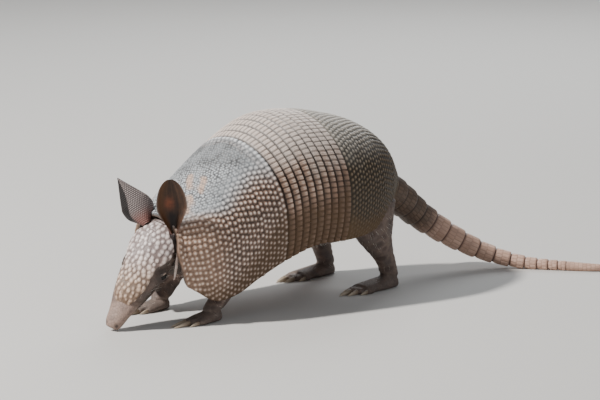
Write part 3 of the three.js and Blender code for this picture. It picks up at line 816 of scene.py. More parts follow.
def ear_sheet(ear, v, w, lift):
    """A point of an ear's leaf, by shares of its length and half width, and height over it."""
    root = in_head(ear["along"], ear["sign"] * ear["side"], -EAR_DOWN)
    rise = ear_way(ear, "tip")
    facing = ear_way(ear, "face")
    facing = turned_about(unit(facing - (facing @ rise) * rise), rise, ear["roll"])
    across = np.cross(rise, facing)
    curl = np.radians(CURL_ROOT - (CURL_ROOT - CURL_LEAF) * np.minimum(v * 2.2, 1))
    bend = leaf_width(ear, v) / curl
    out = (bend + lift) * np.sin(w * curl)
    forward = bend - (bend + lift) * np.cos(w * curl) - EAR_BOW * np.sin(v * math.pi)
    length = v * EAR_LENGTH
    return root + length[..., None] * rise + out[..., None] * across + forward[..., None] * facing


for side_name, ear in EARS.items():
    v = np.linspace(0, 1, EAR_ROWS + 1)[:, None]
    w = np.linspace(-1, 1, EAR_COLS + 1)[None, :]
    v, w = (np.array(a) for a in np.broadcast_arrays(v, w))
    thick = EAR_THICK / 2 * np.sqrt(np.maximum(1 - np.abs(w) ** 6, 0.05)) * (1 - 0.45 * v)
    ridge = 0.35 * np.sin(w * 9) * smooth(0.05, 0.3, v) * smooth(0.95, 0.6, v)
    outer = ear_sheet(ear, v, w, thick)
    inner = ear_sheet(ear, v, w, -thick + ridge * 0.5)
    points, faces = plate_mesh(outer, inner, 1)
    zeros = np.zeros_like(v)
    side = w * ear["sign"]
    reach = w * leaf_width(ear, v) + REACH_START
    patch = 0.8 * smooth(1.15, 0.1, np.hypot((v - 0.56) / 0.17, (side + 0.14) / 0.42))
    edge = smooth(0.86, 1.0, np.abs(w)) * smooth(0.15, 0.4, v)
    strip = ear["strip"] - 0.32 * smooth(0.2, 0.75, v)
    both = {
        "inside": (zeros, zeros + 1),
        "up": (v, v),
        "across": (side, side),
        "reach": (reach, reach),
        "off_middle": (np.abs(w), np.abs(w)),
        "patch": (zeros, patch),
        "front": (smooth(strip, strip + 0.12, -side) * smooth(0.0, 0.25, v), zeros),
        "rim": (0.5 * edge, edge),
    }
    marks = {k: np.concatenate([a.ravel(), b.ravel()]) for k, (a, b) in both.items()}
    node = f"ear_{side_name}"
    make_piece(f"ear_leaf_{side_name}", points, faces, marks, ear_skin, [node], EAR_SHARP)

# ---------------------------------------------------------------- tail
# The tail is sheathed in fourteen rings of horn, each a collar of two rows of small plates over the
# next, dark at the root and pinkish tan further on. The rest is a rod of rows of small scales.
TAIL_PATH = np.array(
    [(143, 0, 85), (163, -1, 72), (188, -6, 52), (216, -26, 29.5), (240, -48, 14.5)]
    + [(262, -75, 6.2), (282, -106, 4.7), (300, -131, 3.9), (322, -150, 2.9), (350, -160, 1.6)]
)
# Radius by distance along the tail. Each ring swells RING_STEP over the next, and starts tucked
# inside the one before, the first one inside the rim of the pelvic shield.
TAIL = {
    "x": (0, 50, 95, 125, 160, 195, 215, 255, 310),
    "radius": (17.6, 14, 11.1, 9.1, 6.8, 5.1, 4.5, 3.1, 1.5),
}
RING_LENGTHS = (16, 16.5, 17, 17.5, 18, 18, 18, 17.5, 16.5, 14.5, 12.5, 11, 9.5, 8.5)
RING_STEP = 0.9
TUCK = 1.6
ROOT_TUCK = 8.0
PATH_STEPS = 400


def centripetal(path):
    """Closely spaced points on the smooth line through a path, and their distances along it."""
    ends = [2 * path[0] - path[1], *path, 2 * path[-1] - path[-2]]
    line = []
    t = np.linspace(0, 1, PATH_STEPS, endpoint=False)[:, None]
    for p0, p1, p2, p3 in zip(ends, ends[1:], ends[2:], ends[3:]):
        d0, d1, d2 = (math.sqrt(np.linalg.norm(b - a)) for a, b in ((p0, p1), (p1, p2), (p2, p3)))
        start = ((p1 - p0) / d0 - (p2 - p0) / (d0 + d1) + (p2 - p1) / d1) * d1
        stop = ((p2 - p1) / d1 - (p3 - p1) / (d1 + d2) + (p3 - p2) / d2) * d1
        ease = t * t * (3 - 2 * t)
        line.append(p1 + (p2 - p1) * ease + (t - 2 * t**2 + t**3) * start + (t**3 - t**2) * stop)
    line = np.concatenate(line + [path[-1:]])
    return line, run_along(line)


tail_line, tail_run = centripetal(TAIL_PATH)
tail_length = tail_run[-1]


def tail_point(distance, turn, swell):
    """A point on the tail, by distance from its root and angle round from its top."""
    on_line = np.clip(distance, 0, tail_length)
    behind, at, ahead = (
        np.stack([np.interp(on_line + step, tail_run, tail_line[:, k]) for k in range(3)], -1)
        for step in (-1, 0, 1)
    )
    way = unit(ahead - behind)
    at = at + np.minimum(distance, 0)[..., None] * way
    across = unit(np.cross(np.array([0.0, 0.0, 1.0]), way))
    upward = np.cross(way, across)
    radius = along(TAIL, "radius", distance) + swell
    point = at + across * (radius * np.sin(turn))[..., None] + upward * (radius * np.cos(turn))[..., None]
    point[..., 2] = np.maximum(point[..., 2], 0)
    return point


def tube_mesh(rows):
    """Points and faces of a closed tube over rings of points, its ends capped."""
    ring = np.arange(rows.shape[0] * rows.shape[1]).reshape(rows.shape[:2])
    turned = np.roll(ring, -1, axis=1)
    faces = quads(ring[:-1], turned[:-1], turned[1:], ring[1:])
    return rows.reshape(-1, 3), faces + [ring[0][::-1].tolist(), ring[-1].tolist()]


def tail_material():
    n = Nodes("tail_horn")
    scute = n.remap(n.mark("scute"), 0.2, 0.8)
    root = n.mark("root")
    pale = n.mix(n.remap(n.mark("tone"), 0, 1), (0.66, 0.44, 0.34), (0.53, 0.335, 0.25))
    dark = n.mix(n.remap(n.mark("tone"), 0, 1), (0.15, 0.095, 0.062), (0.105, 0.068, 0.045))
    cloud = n.mix(root, (0.36, 0.22, 0.165), (0.075, 0.048, 0.034))
    top = n.mix(n.remap(n.noise(12, 4), 0.42, 0.66, 0, 0.4), n.mix(root, pale, dark), cloud)
    ground = n.mix(root, (0.43, 0.27, 0.205), (0.075, 0.047, 0.032))
    joint = n.mix(root, (0.11, 0.06, 0.045), (0.026, 0.016, 0.012))
    color = n.mix(n.mark("joint"), n.mix(scute, ground, top), joint)
    fine = n.noise(1.2, 4)
    relief = n.bump(n.noise(0.5, 2), 0.06, n.bump(fine, 0.2))
    return n.finish(color, n.remap(fine, 0.3, 0.7, 0.42, 0.6), relief)


tail_horn = tail_material()
TAIL_SIDES = 144
SCALE_WIDTH = 3.9
ROW_SPLIT = 0.5
# How a ring swells, by share of its length: sunk where it is tucked in, fullest near its rear edge.
COLLAR = ((-0.2, 0, 0.12, 0.45, 0.9, 1), (-2.6, -1.9, -1.0, 0.1, 0.6, 0.1))

reached = 0.0
turn = np.linspace(0, 2 * math.pi, TAIL_SIDES, endpoint=False)[None, :]
for number, length in enumerate(RING_LENGTHS):
    rim = RING_STEP * (1 - 0.6 * number / len(RING_LENGTHS))
    tuck = TUCK if number else ROOT_TUCK
    share = np.linspace(-tuck / length, 1, 31)[:, None] + 0 * turn
    distance = reached + share * (length - GAP)
    turns = turn + 0 * distance

    # Two rows of plates round the ring, the second set half a plate aside.
    girth = 2 * math.pi * float(along(TAIL, "radius", reached + length / 2))
    around = max(int(round(girth / SCALE_WIDTH)), 8)
    row = (share >= ROW_SPLIT).astype(int)
    place = (turns / (2 * math.pi) * around + 0.5 * row) % around
    cell = np.floor(place).astype(int) + row * around
    side_edge = np.minimum(place % 1, 1 - place % 1) * girth / around
    row_edge = np.minimum(np.abs(share - ROW_SPLIT), np.minimum(share - 0.1, 0.98 - share)) * length
    top = smooth(0.0, 0.9, side_edge) * smooth(0.0, 0.9, row_edge)
    swell = np.interp(share, *COLLAR) * rim
    rows = tail_point(distance, turns, swell + 0.3 * top - 0.3)
    points, faces = tube_mesh(rows)
    tones = np.random.default_rng(200 + number).uniform(0, 1, int(cell.max()) + 1)
    marks = {
        "scute": top,
        "tone": tones[cell],
        "root": smooth(88, 46, distance + 8 * noise(rows, 14, 51)),
        "joint": smooth(0.10, 0.03, share),
    }
    label = f"{number + 1:02d}"
    node = f"tail_ring_{label}"
    make_piece(f"tail_collar_{label}", points, faces, marks, tail_horn, [node], SHARP)
    reached += length

TIP_ROW = 4.0
TIP_SIDES = 60
TIP_AROUND = 9
turn = np.linspace(0, 2 * math.pi, TIP_SIDES, endpoint=False)[None, :]
distance = np.linspace(reached, tail_length, 300)[:, None] + 0 * turn
turns = turn + 0 * distance
row = (distance - reached) / TIP_ROW
place = turns / (2 * math.pi) * TIP_AROUND + 0.5 * (np.floor(row) % 2)
radius = along(TAIL, "radius", distance)
row_edge = np.minimum(row % 1, 1 - row % 1) * TIP_ROW
side_edge = np.minimum(place % 1, 1 - place % 1) * 2 * math.pi * radius / TIP_AROUND
top = smooth(0.05, 0.6, row_edge) * smooth(0.02, 0.4, side_edge)
end = np.sqrt(np.clip((tail_length - distance) / 3.0, 0.02, 1))
rows = tail_point(distance, turns, 0.16 * top - 0.15 - radius * (1 - end))
points, faces = tube_mesh(rows)
cell = (np.floor(row) * TIP_AROUND + np.floor(place % TIP_AROUND)).astype(int)
tones = np.random.default_rng(230).uniform(0, 1, int(cell.max()) + 1)
joint = smooth(0.5, 0.2, distance - reached)
marks = {"scute": top, "tone": tones[cell], "root": 0 * row, "joint": joint}
make_piece("tail_whip", points, faces, marks, tail_horn, ["tail_tip"], SHARP)

# ---------------------------------------------------------------- skin
# One skin covers the head, neck, belly and legs: thick, wrinkled and nearly bare, grey-brown on
# the head and legs, with painted shade in the creases, and paler and ruddier on the belly.
#
# The trunk fills the armour from chest to tail. Neck and limbs are ovals along a line of places (px,
# py, pz), with half widths (wide) and half depths (long). Each digit has a place to the side, a
# reach past the foot's toes_x, a half thickness and the length of its claw.
CHEST_X = -122
TAIL_ROOT_X = RUMP_X - 5
NECK = {
    "x": (0, 1, 2, 3),
    "px": (-112, -126, -138, -150),
    "py": (0, -3, -7, -9),
    "pz": (74, 73, 70, 62),
    "wide": (42, 35, 27, 18),
    "long": (33, 29, 26, 22),
}
FORE = dict(
    limb={
        "x": (0, 1, 2, 3),
        "px": (-100, -101, -107, -117),
        "py": (-33, -35, -36, -35.5),
        "pz": (52, 36, 22, 11),
        "wide": (16, 13, 10, 9.5),
        "long": (20, 16, 12, 9.5),
    },
    heel=-109,
    toes_x=-137,
    foot_y=-35.5,
    foot_wide=11,
    foot_high=13,
    digits=((8.4, 6, 3.2, 9.5), (3, 12, 3.8, 18), (-3, 11.5, 3.8, 17), (-8.4, 4.5, 3.1, 8.5)),
)
HIND = dict(
    limb={
        "x": (0, 1, 2, 3, 4),
        "px": (86, 83, 88, 99, 105),
        "py": (-36, -40, -42.5, -43, -43),
        "pz": (84, 62, 44, 27, 12),
        "wide": (17, 15, 11.5, 8.5, 8),
        "long": (30, 26, 18, 11.5, 9.5),
    },
    heel=114,
    toes_x=66,
    foot_y=-43,
    foot_wide=12,
    foot_high=14,
    digits=(
        (10.8, 3, 3.2, 7.5), (5.2, 11, 3.7, 11), (0, 14.5, 3.9, 13.5),
        (-5.2, 10.5, 3.7, 11), (-10.8, 1, 3.1, 7),
    ),
)
ACROSS = (0, 1, 0)
UPWARD = (0, 0, 1)
SKIN_VOXEL = 1.25
SKIN_TRIANGLES = 170000  # after thinning


def body_ring(x, depth):
    """The whole body section at x: under the armour, then round the belly."""
    upper = armour(np.full(61, x), np.linspace(-1, 1, 61) * FLANK, -depth)
    hem = upper[-1]
    sag = float(along(BODY, "keel", x)) - hem[2]
    middle = float(along(BODY, "side", x))
    t = np.linspace(0, math.pi, 31)[1:-1]
    across = middle + (hem[1] - middle) * np.cos(t)
    lower = np.stack([0 * t + hem[0], across, hem[2] + sag * np.sin(t)], -1)
    return np.concatenate([upper, lower])


def oval(at, across, wide, upward, high, sides=40):
    """A ring of points with two half widths, each in its own way."""
    t = np.linspace(0, 2 * math.pi, sides, endpoint=False)[:, None]
    at, across, upward = (np.asarray(v) for v in (at, across, upward))
    return at + across * wide * np.sin(t) + upward * high * np.cos(t)


def on_floor(points):
    """The points, with any that lie too low brought up to the floor."""
    return np.concatenate([points[..., :2], np.maximum(points[..., 2:], 0.05)], -1)


def section_tube(plan, upward, mirror=1):
    """Rings along a neck or a limb, on the side that mirror gives."""
    rows = []
    for s in np.linspace(0, plan["x"][-1], 24):
        px, py, pz, wide, long = (float(along(plan, k, s)) for k in ("px", "py", "pz", "wide", "long"))
        rows.append(oval((px, py * mirror, pz), ACROSS, wide, upward, long))
    return np.array(rows)


def leg_tubes(plan, mirror):
    """Rings for one leg: the limb, the foot on the floor, and each toe."""
    tubes = [section_tube(plan["limb"], (-1, 0, 0), mirror)]
    length = plan["heel"] - plan["toes_x"]
    rows = []
    for t in np.linspace(0, 1, 20):
        ball = math.sqrt(min(t / 0.2, 1) * (2 - min(t / 0.2, 1)))
        spread = 0.62 + 0.38 * math.sin(min(t * 1.6, 1) * math.pi / 2)
        wide = plan["foot_wide"] * spread * (0.45 + 0.55 * ball)
        high = plan["foot_high"] * (1 - 0.42 * t) * 0.5 * (0.5 + 0.5 * ball)
        at = (plan["heel"] - length * t, mirror * plan["foot_y"], 0.78 * high)
        rows.append(on_floor(oval(at, ACROSS, wide, UPWARD, 1.15 * high)))
    tubes.append(np.array(rows))
    for side, reach, thick, _ in plan["digits"]:
        start = plan["toes_x"] + 6
        tip = plan["toes_x"] - reach
        rows = []
        for t in np.linspace(0, 1, 14):
            rounding = math.sqrt(max(1 - max(t - 0.72, 0) ** 2 / 0.1, 0.1))
            size = thick * (0.95 + 0.06 * math.sin(t * 9)) * rounding
            at = (start + (tip - start) * t, mirror * (plan["foot_y"] - side), 0.55 * size)
            rows.append(on_floor(oval(at, ACROSS, size, UPWARD, 1.15 * size, 24)))
        tubes.append(np.array(rows))
    return tubes


flesh = [np.array([body_ring(x, SHELL + LINING) for x in np.linspace(CHEST_X, TAIL_ROOT_X, 60)])]
u = np.linspace(HEAD["x"][0], HEAD["x"][-1], 90)[:, None]
turn = np.linspace(0, 2 * math.pi, 72, endpoint=False)[None, :]
flesh.append(on_floor(head_point(u + 0 * turn, turn + 0 * u, -0.2)))
flesh.append(section_tube(NECK, (-0.35, 0, 0.94)))
for plan in (FORE, HIND):
    for mirror in (1, -1):
        flesh += leg_tubes(plan, mirror)

all_points = []
all_faces = []
first = 0
for rows in flesh:
    points, faces = tube_mesh(rows)
    all_points.append(points)
    all_faces += [[v + first for v in f] for f in faces]
    first += len(points)


def applied(thing):
    """The plain mesh of an object with its modifiers applied; the object is thrown away."""
    bpy.context.view_layer.update()
    graph = bpy.context.evaluated_depsgraph_get()
    mesh = bpy.data.meshes.new_from_object(thing.evaluated_get(graph))
    thing.modifiers.clear()
    bpy.data.objects.remove(thing)
    return mesh


def with_modifiers(mesh, *modifiers):
    """A mesh after modifiers, each a kind and its settings."""
    thing = in_scene("under_way", mesh)
    for kind, settings in modifiers:
        modifier = thing.modifiers.new(kind.lower(), kind)
        for key, value in settings.items():
            setattr(modifier, key, value)
    return applied(thing)


def plain_mesh(points, faces):
    """A mesh in the animal's own frame, in millimetres."""
    mesh = bpy.data.meshes.new("under_way")
    mesh.from_pydata(points.tolist(), [], faces)
    return mesh


def mesh_values(mesh):
    """The points, normals and faces of a mesh."""
    points, normals = (np.zeros(len(mesh.vertices) * 3, np.float32) for _ in range(2))
    mesh.vertices.foreach_get("co", points)
    mesh.vertex_normals.foreach_get("vector", normals)
    faces = [list(p.vertices) for p in mesh.polygons]
    return points.reshape(-1, 3).astype(float), normals.reshape(-1, 3).astype(float), faces


EYE = dict(along=39.5, side=18.6, down=12.5, radius=4.6)
MOUTH_HALF = 0.9
NOSTRIL = dict(along=98.5, side=5.6, down=6.5, hollow=2.6, dark=2.2)


def hill(distance, width):
    """A soft round hill, 1 at its middle."""
    return np.exp(-((distance / width) ** 2))


def head_features(points, nostril_size):
    """Places on the head, and how far each point is on it, its mouth, a nostril or a fold."""
    axial, aside, above_axis = head_coordinates(points)
    beside = smooth(26, 20, np.abs(aside) * 0.9)
    on_head = smooth(-16, -4, axial) * beside * smooth(42, 36, np.abs(above_axis + 14))
    jaw_line = -11.5 - 0.035 * (axial - 60)
    lips = hill(above_axis - jaw_line, MOUTH_HALF)
    mouth = on_head * smooth(44, 56, axial) * lips * smooth(2, 5, np.abs(aside))
    ahead, below = axial - NOSTRIL["along"], above_axis + NOSTRIL["down"]
    nostril = on_head * sum(
        np.exp(-(ahead**2 + below**2 + (aside - side) ** 2) / nostril_size)
        for side in (NOSTRIL["side"], -NOSTRIL["side"])
    )
    folds = noise(points * np.array([1.0, 0.55, 1.6]), 7.5, 61) + 0.6 * noise(points, 4.2, 62)
    return axial, aside, above_axis, on_head, mouth, nostril, folds


# The tubes are joined into one skin and eased. Then it is moved in and out along its normals to
# make the folds, lids, mouth and nostrils, and thinned.
whole = with_modifiers(
    plain_mesh(np.concatenate(all_points), all_faces),
    ("REMESH", {"mode": "VOXEL", "voxel_size": SKIN_VOXEL}),
    ("SMOOTH", {"factor": 0.5, "iterations": 6}),
)
skin_points, skin_normals, skin_faces = mesh_values(whole)
features = head_features(skin_points, NOSTRIL["hollow"])
axial, aside, above_axis, on_head, mouth, nostril, folds = features
eye_gap = np.sqrt((axial - EYE["along"]) ** 2 + (above_axis + EYE["down"]) ** 2)
orbit = on_head * smooth(8, 14, np.abs(aside))
lids = orbit * (0.7 * hill(eye_gap - 5.2, 1.5) - 0.9 * hill(eye_gap - 8.2, 1.3))
on_foot = smooth(17, 11, skin_points[:, 2]) * (1 - on_head)
crease = -0.45 * np.abs(folds) * (1 - 0.75 * on_foot) * (1 - 0.7 * on_head * smooth(40, 60, axial))
shift = crease + lids - 0.9 * mouth - 1.3 * nostril
moved = skin_points + skin_normals * shift[:, None]
moved[:, 2] = np.maximum(moved[:, 2], 0)
whole.vertices.foreach_set("co", moved.astype(np.float32).ravel())
whole.update()
triangles = sum(len(f) - 2 for f in skin_faces)
thin = with_modifiers(whole, ("DECIMATE", {"ratio": min(1.0, SKIN_TRIANGLES / triangles)}))
skin_points, _, skin_faces = mesh_values(thin)
SKIN_SCALE = 2.6


def skin_material():
    n = Nodes("skin")
    low = n.mark("low")
    fold = n.mark("fold")
    base = n.mix(n.remap(n.noise(14, 4), 0.38, 0.64), (0.185, 0.13, 0.105), (0.115, 0.088, 0.078))
    base = n.mix(n.times(n.mark("belly"), 0.75), base, (0.33, 0.215, 0.17))
    base = n.mix(n.times(n.mark("snout"), 0.85), base, (0.34, 0.235, 0.19))
    base = n.mix(n.mark("nape"), base, (0.36, 0.29, 0.28))
    base = n.mix(n.mark("cheek"), base, (0.27, 0.215, 0.205))
    # Painted shade in the creases of the folds.
    base = n.mix(n.times(fold, 0.7), base, (0.055, 0.036, 0.03))
    # Mud on the lower cheeks, carried up over the side of the head as painted shade.
    mud_and_shade_share = n.times(n.mark("mud_and_shade"), n.remap(n.noise(4, 5), 0.35, 0.6, 0.3, 1.0))
    mud_and_shade_share = n.times(mud_and_shade_share, n.math("SUBTRACT", 1.0, n.mark("cheek")))
    base = n.mix(mud_and_shade_share, base, (0.05, 0.032, 0.022))
    base = n.mix(n.times(low, 0.4), base, (0.25, 0.19, 0.155))
    # Painted shade: near black in the mouth line, the nostrils and the socket round the eye.
    base = n.mix(n.mark("dark"), base, (0.02, 0.014, 0.012))
    cells = n.tree.nodes.new("ShaderNodeTexVoronoi")
    cells.feature = "DISTANCE_TO_EDGE"
    n.set(cells, "Vector", n.place())
    n.set(cells, "Scale", 1000 / SKIN_SCALE)
    from_edge = cells.outputs["Distance"]
    scale_relief = n.times(n.remap(from_edge, 0.0, 0.12), n.remap(low, 0, 1, 0.35, 1))
    color = n.mix(n.times(n.remap(from_edge, 0.09, 0.0), 0.4), base, (0.06, 0.04, 0.033))
    relief = n.bump(n.noise(0.8, 3), 0.15, n.bump(scale_relief, 0.4))
    return n.finish(color, n.remap(n.noise(3, 3), 0.3, 0.7, 0.55, 0.75), relief)


def from_belly(points):
    """How far above or below the level of the belly the points are."""
    return np.abs(points[:, 2] - along(BODY, "keel", np.clip(points[:, 0], -110, 130)))


skin_hide = skin_material()
features = head_features(skin_points, NOSTRIL["dark"])
axial, aside, above_axis, on_head, mouth, nostril, folds = features
sideways = np.abs(aside)
eye_gap = np.sqrt((axial - EYE["along"]) ** 2 + (above_axis + EYE["down"]) ** 2)
eye_gap = eye_gap + 20 * smooth(10, 6, sideways)
cheek_gap = np.hypot((axial - EYE["along"] - 2) / 1.5, above_axis + EYE["down"] + 9.5)
mud_and_shade_line = above_axis + 12 + 3 * noise(skin_points, 9, 63)
nape = smooth(12, 4, axial) * smooth(-30, -18, axial)
between_legs = smooth(33, 24, np.abs(skin_points[:, 1]))
marks = {
    "low": smooth(16, 9, skin_points[:, 2]) * (1 - on_head),
    "fold": smooth(0.25, 1.2, np.abs(folds)) * (1 - 0.5 * on_head),
    "belly": smooth(12, 2, from_belly(skin_points)) * (1 - on_head) * between_legs,
    "mud_and_shade": on_head * smooth(9, -3, mud_and_shade_line) * smooth(92, 70, axial),
    "snout": on_head * smooth(60, 84, axial),
    "cheek": on_head * smooth(6.5, 2.5, cheek_gap),
    "nape": nape * smooth(-16, -8, above_axis) * smooth(20, 14, sideways),
    "dark": np.clip(mouth * 0.9 + nostril + 0.75 * on_head * smooth(8.5, 5.0, eye_gap), 0, 1),
}
fleshy = ["head", "neck", "trunk", "fore_leg_left", "fore_leg_right", "hind_leg_left", "hind_leg_right"]
make_piece("hide", skin_points, skin_faces, marks, skin_hide, fleshy)

# Behind the left cheek, where the head turns and the neck slackens, a thin fold of bare skin
# runs from the front rim of the shield to the jaw; its pale colour is a painted highlight along its edge.
n = Nodes("fold")
painted_lit_fold_tone = n.mix(n.remap(n.noise(4), 0.35, 0.65), (0.66, 0.55, 0.50), (0.50, 0.38, 0.33))
painted_lit_fold_skin = n.finish(painted_lit_fold_tone, 0.5, n.bump(n.noise(1.2, 3), 0.15))
FOLD_PATH = ((-156.7, -34.0, 75.0), (-158.3, -34.0, 63.0), (-158.8, -33.0, 53.8), (-159.7, -31.0, 42.7))
FOLD_WIDE = 1.8
FOLD_THICK = 0.5
line, _ = centripetal(np.array(FOLD_PATH))
line = line[:: PATH_STEPS // 12]
rows = []
for number, at in enumerate(line):
    size = math.sin(math.pi * min(max((number + 0.6) / len(line), 0.06), 0.94)) ** 0.5
    rows.append(oval(at, (1, 0, 0), FOLD_WIDE * size, ACROSS, FOLD_THICK * size, 16))
points, faces = tube_mesh(np.array(rows))
make_piece("neck_fold", points, faces, {}, painted_lit_fold_skin, [])

# ---------------------------------------------------------------- eyes
# Small dark wet eyes low on the sides of the head, half closed between thick pale-edged lids. Each
# eye is a ball set in the skull, and its lids are one closed fold of skin that fits over the ball.
eye_wet = Nodes("eye").finish((0.003, 0.002, 0.002), 0.1, None, Specular_IOR_Level=0.25)
n = Nodes("lid")
lid_tone = n.mix(n.mark("margin"), (0.075, 0.052, 0.045), (0.52, 0.40, 0.33))
lid_skin = n.finish(lid_tone, 0.5, n.bump(n.noise(0.9, 3), 0.15))
LID_ROWS = 9
LID_SIDES = 48
LID_THICK = 0.45
LID_CLEAR = 0.15
LID_SWELL = 0.5
LID_EDGE = math.radians(86)
EYE_OPEN = dict(long=math.radians(70), over=math.radians(25), under=math.radians(40))
EYE_SLANT = math.radians(33)


def round_eye(middle, ways, radius, polar, spin):
    """Points about an eye by radius, angle from the way it looks out and angle round that way."""
    outward, slit, over = ways
    return (
        middle
        + (radius * np.cos(polar))[..., None] * outward
        + (radius * np.sin(polar) * np.cos(spin))[..., None] * slit
        + (radius * np.sin(polar) * np.sin(spin))[..., None] * over
    )


for side_name, sign in (("left", 1), ("right", -1)):
    middle = in_head(EYE["along"], sign * EYE["side"], -EYE["down"])
    outward = unit(sign * face_left * 0.97 + face_up * 0.22)
    slit = unit(nose_way - (nose_way @ outward) * outward)
    over = np.cross(slit, outward) * sign
    over = over if over @ face_up > 0 else -over
    cos, sin = math.cos(EYE_SLANT), math.sin(EYE_SLANT)
    ways = (outward, slit * cos + over * sin, over * cos - slit * sin)
    spin = np.linspace(0, 2 * math.pi, 32, endpoint=False)[None, :]
    polar = np.linspace(0, math.pi, 25)[1:-1, None] + 0 * spin
    points, faces = tube_mesh(round_eye(middle, ways, EYE["radius"], polar, spin))
    make_piece(f"eyeball_{side_name}", points, faces, {}, eye_wet, [f"eye_{side_name}"])
    spin = np.linspace(0, 2 * math.pi, LID_SIDES, endpoint=False)[None, :]
    share = np.linspace(0, 1, LID_ROWS)[:, None]
    height = np.where(np.sin(spin) > 0, EYE_OPEN["over"], EYE_OPEN["under"])
    open_at = 1 / np.sqrt((np.cos(spin) / EYE_OPEN["long"]) ** 2 + (np.sin(spin) / height) ** 2)
    polar = open_at + (LID_EDGE - open_at) * share
    swell = LID_SWELL * np.sin(np.minimum(share * 2.2, 1) * math.pi / 2)
    radius = EYE["radius"] + LID_CLEAR + swell + 0 * spin
    lid = round_eye(middle, ways, radius, polar, spin)
    under = round_eye(middle, ways, radius - LID_THICK, polar, spin)
    ring = np.concatenate([lid, under[::-1]])
    number = np.arange(len(ring) * LID_SIDES).reshape(-1, LID_SIDES)
    wrapped = np.roll(number, -1, axis=1)
    faces = quads(number, wrapped, np.roll(wrapped, -1, axis=0), np.roll(number, -1, axis=0))
    upper = smooth(0.1, 0.6, np.sin(spin)) * smooth(0.75, 0.1, np.cos(spin)) + 0 * share
    margin = np.concatenate([smooth(0.32, 0.1, share) * upper, upper])
    marks = {"margin": margin}
    make_piece(f"eyelids_{side_name}", ring.reshape(-1, 3), faces, marks, lid_skin, [])

# ---------------------------------------------------------------- claws
# Strong curved claws of horn for digging, longest on the two middle toes of the front feet, dark
# at the root and worn pale towards the point.
n = Nodes("claw_horn")
claw_tone = n.mix(n.remap(n.mark("out"), 0.0, 0.8), (0.20, 0.145, 0.10), (0.60, 0.50, 0.38))
claw_tone = n.mix(n.remap(n.noise(1.4, 3), 0.4, 0.6, 0, 0.35), claw_tone, (0.32, 0.24, 0.17))
claw_horn = n.finish(claw_tone, 0.35, n.bump(n.noise(0.8, 3), 0.1))
CLAW_SHARE = 0.62
CLAW_ROWS = 16
CLAW_SIDES = 18
CLAW_ROOT = 1.2
CLAW_TIP = 0.5
for limb_name, plan in (("fore", FORE), ("hind", HIND)):
    for side_name, mirror in (("left", 1), ("right", -1)):
        for number, (side, reach, thick, claw) in enumerate(plan["digits"], 1):
            root_x = plan["toes_x"] - reach - GAP
            rest = thick * CLAW_SHARE
            claw_y = mirror * (plan["foot_y"] - side)
            out = np.linspace(0, 1, CLAW_ROWS)
            rows = []
            for t in out:
                size = rest * (1 - 0.9 * t**1.3)
                at = (root_x + CLAW_ROOT - (claw + CLAW_ROOT) * t, claw_y, rest + (CLAW_TIP - rest) * t * t)
                rows.append(on_floor(oval(at, ACROSS, size * 0.85, UPWARD, size * 1.12, CLAW_SIDES)))
            points, faces = tube_mesh(np.array(rows))
            marks = {"out": np.repeat(out, CLAW_SIDES)}
            name = f"{limb_name}_{side_name}_{number}"
            make_piece(f"nail_{name}", points, faces, marks, claw_horn, [f"claw_{name}"])

# ---------------------------------------------------------------- hair
# Sparse stiff whitish hairs. Short ones stand between the scutes of the armour and along its rims,
# and longer ones hang from the belly, the cheeks and the legs. Each grows from a bed, which is a
# coarse copy of the surface that is thrown away when they are made.
BED_ROWS = 90
BED_COLS = 110
BED_TRIANGLES = 9000
HAIR_SIDES = 3
HAIR_JOINTS = 3
HAIR_PATCH = 0.0015


def hair_bed(name, points, faces, density, lie):
    """The surface hairs grow from, with how close they stand and which way they lie."""
    mesh = in_metres(name, points, faces)
    mesh.attributes.new("density", "FLOAT", "POINT").data.foreach_set("value", density.ravel())
    mesh.attributes.new("lie", "FLOAT_VECTOR", "POINT").data.foreach_set("vector", lie.ravel())
    return in_scene(name, mesh)


def unwrap(bed):
    """Lays the bed's own surface out flat in a map."""
    bpy.context.view_layer.objects.active = bed
    bed.select_set(True)
    bpy.ops.object.mode_set(mode="EDIT")
    bpy.ops.mesh.select_all(action="SELECT")
    bpy.ops.uv.smart_project(angle_limit=math.radians(66), island_margin=0.004)
    bpy.ops.object.mode_set(mode="OBJECT")
    bed.select_set(False)
    bed.data.uv_layers[0].name = "unwrap"


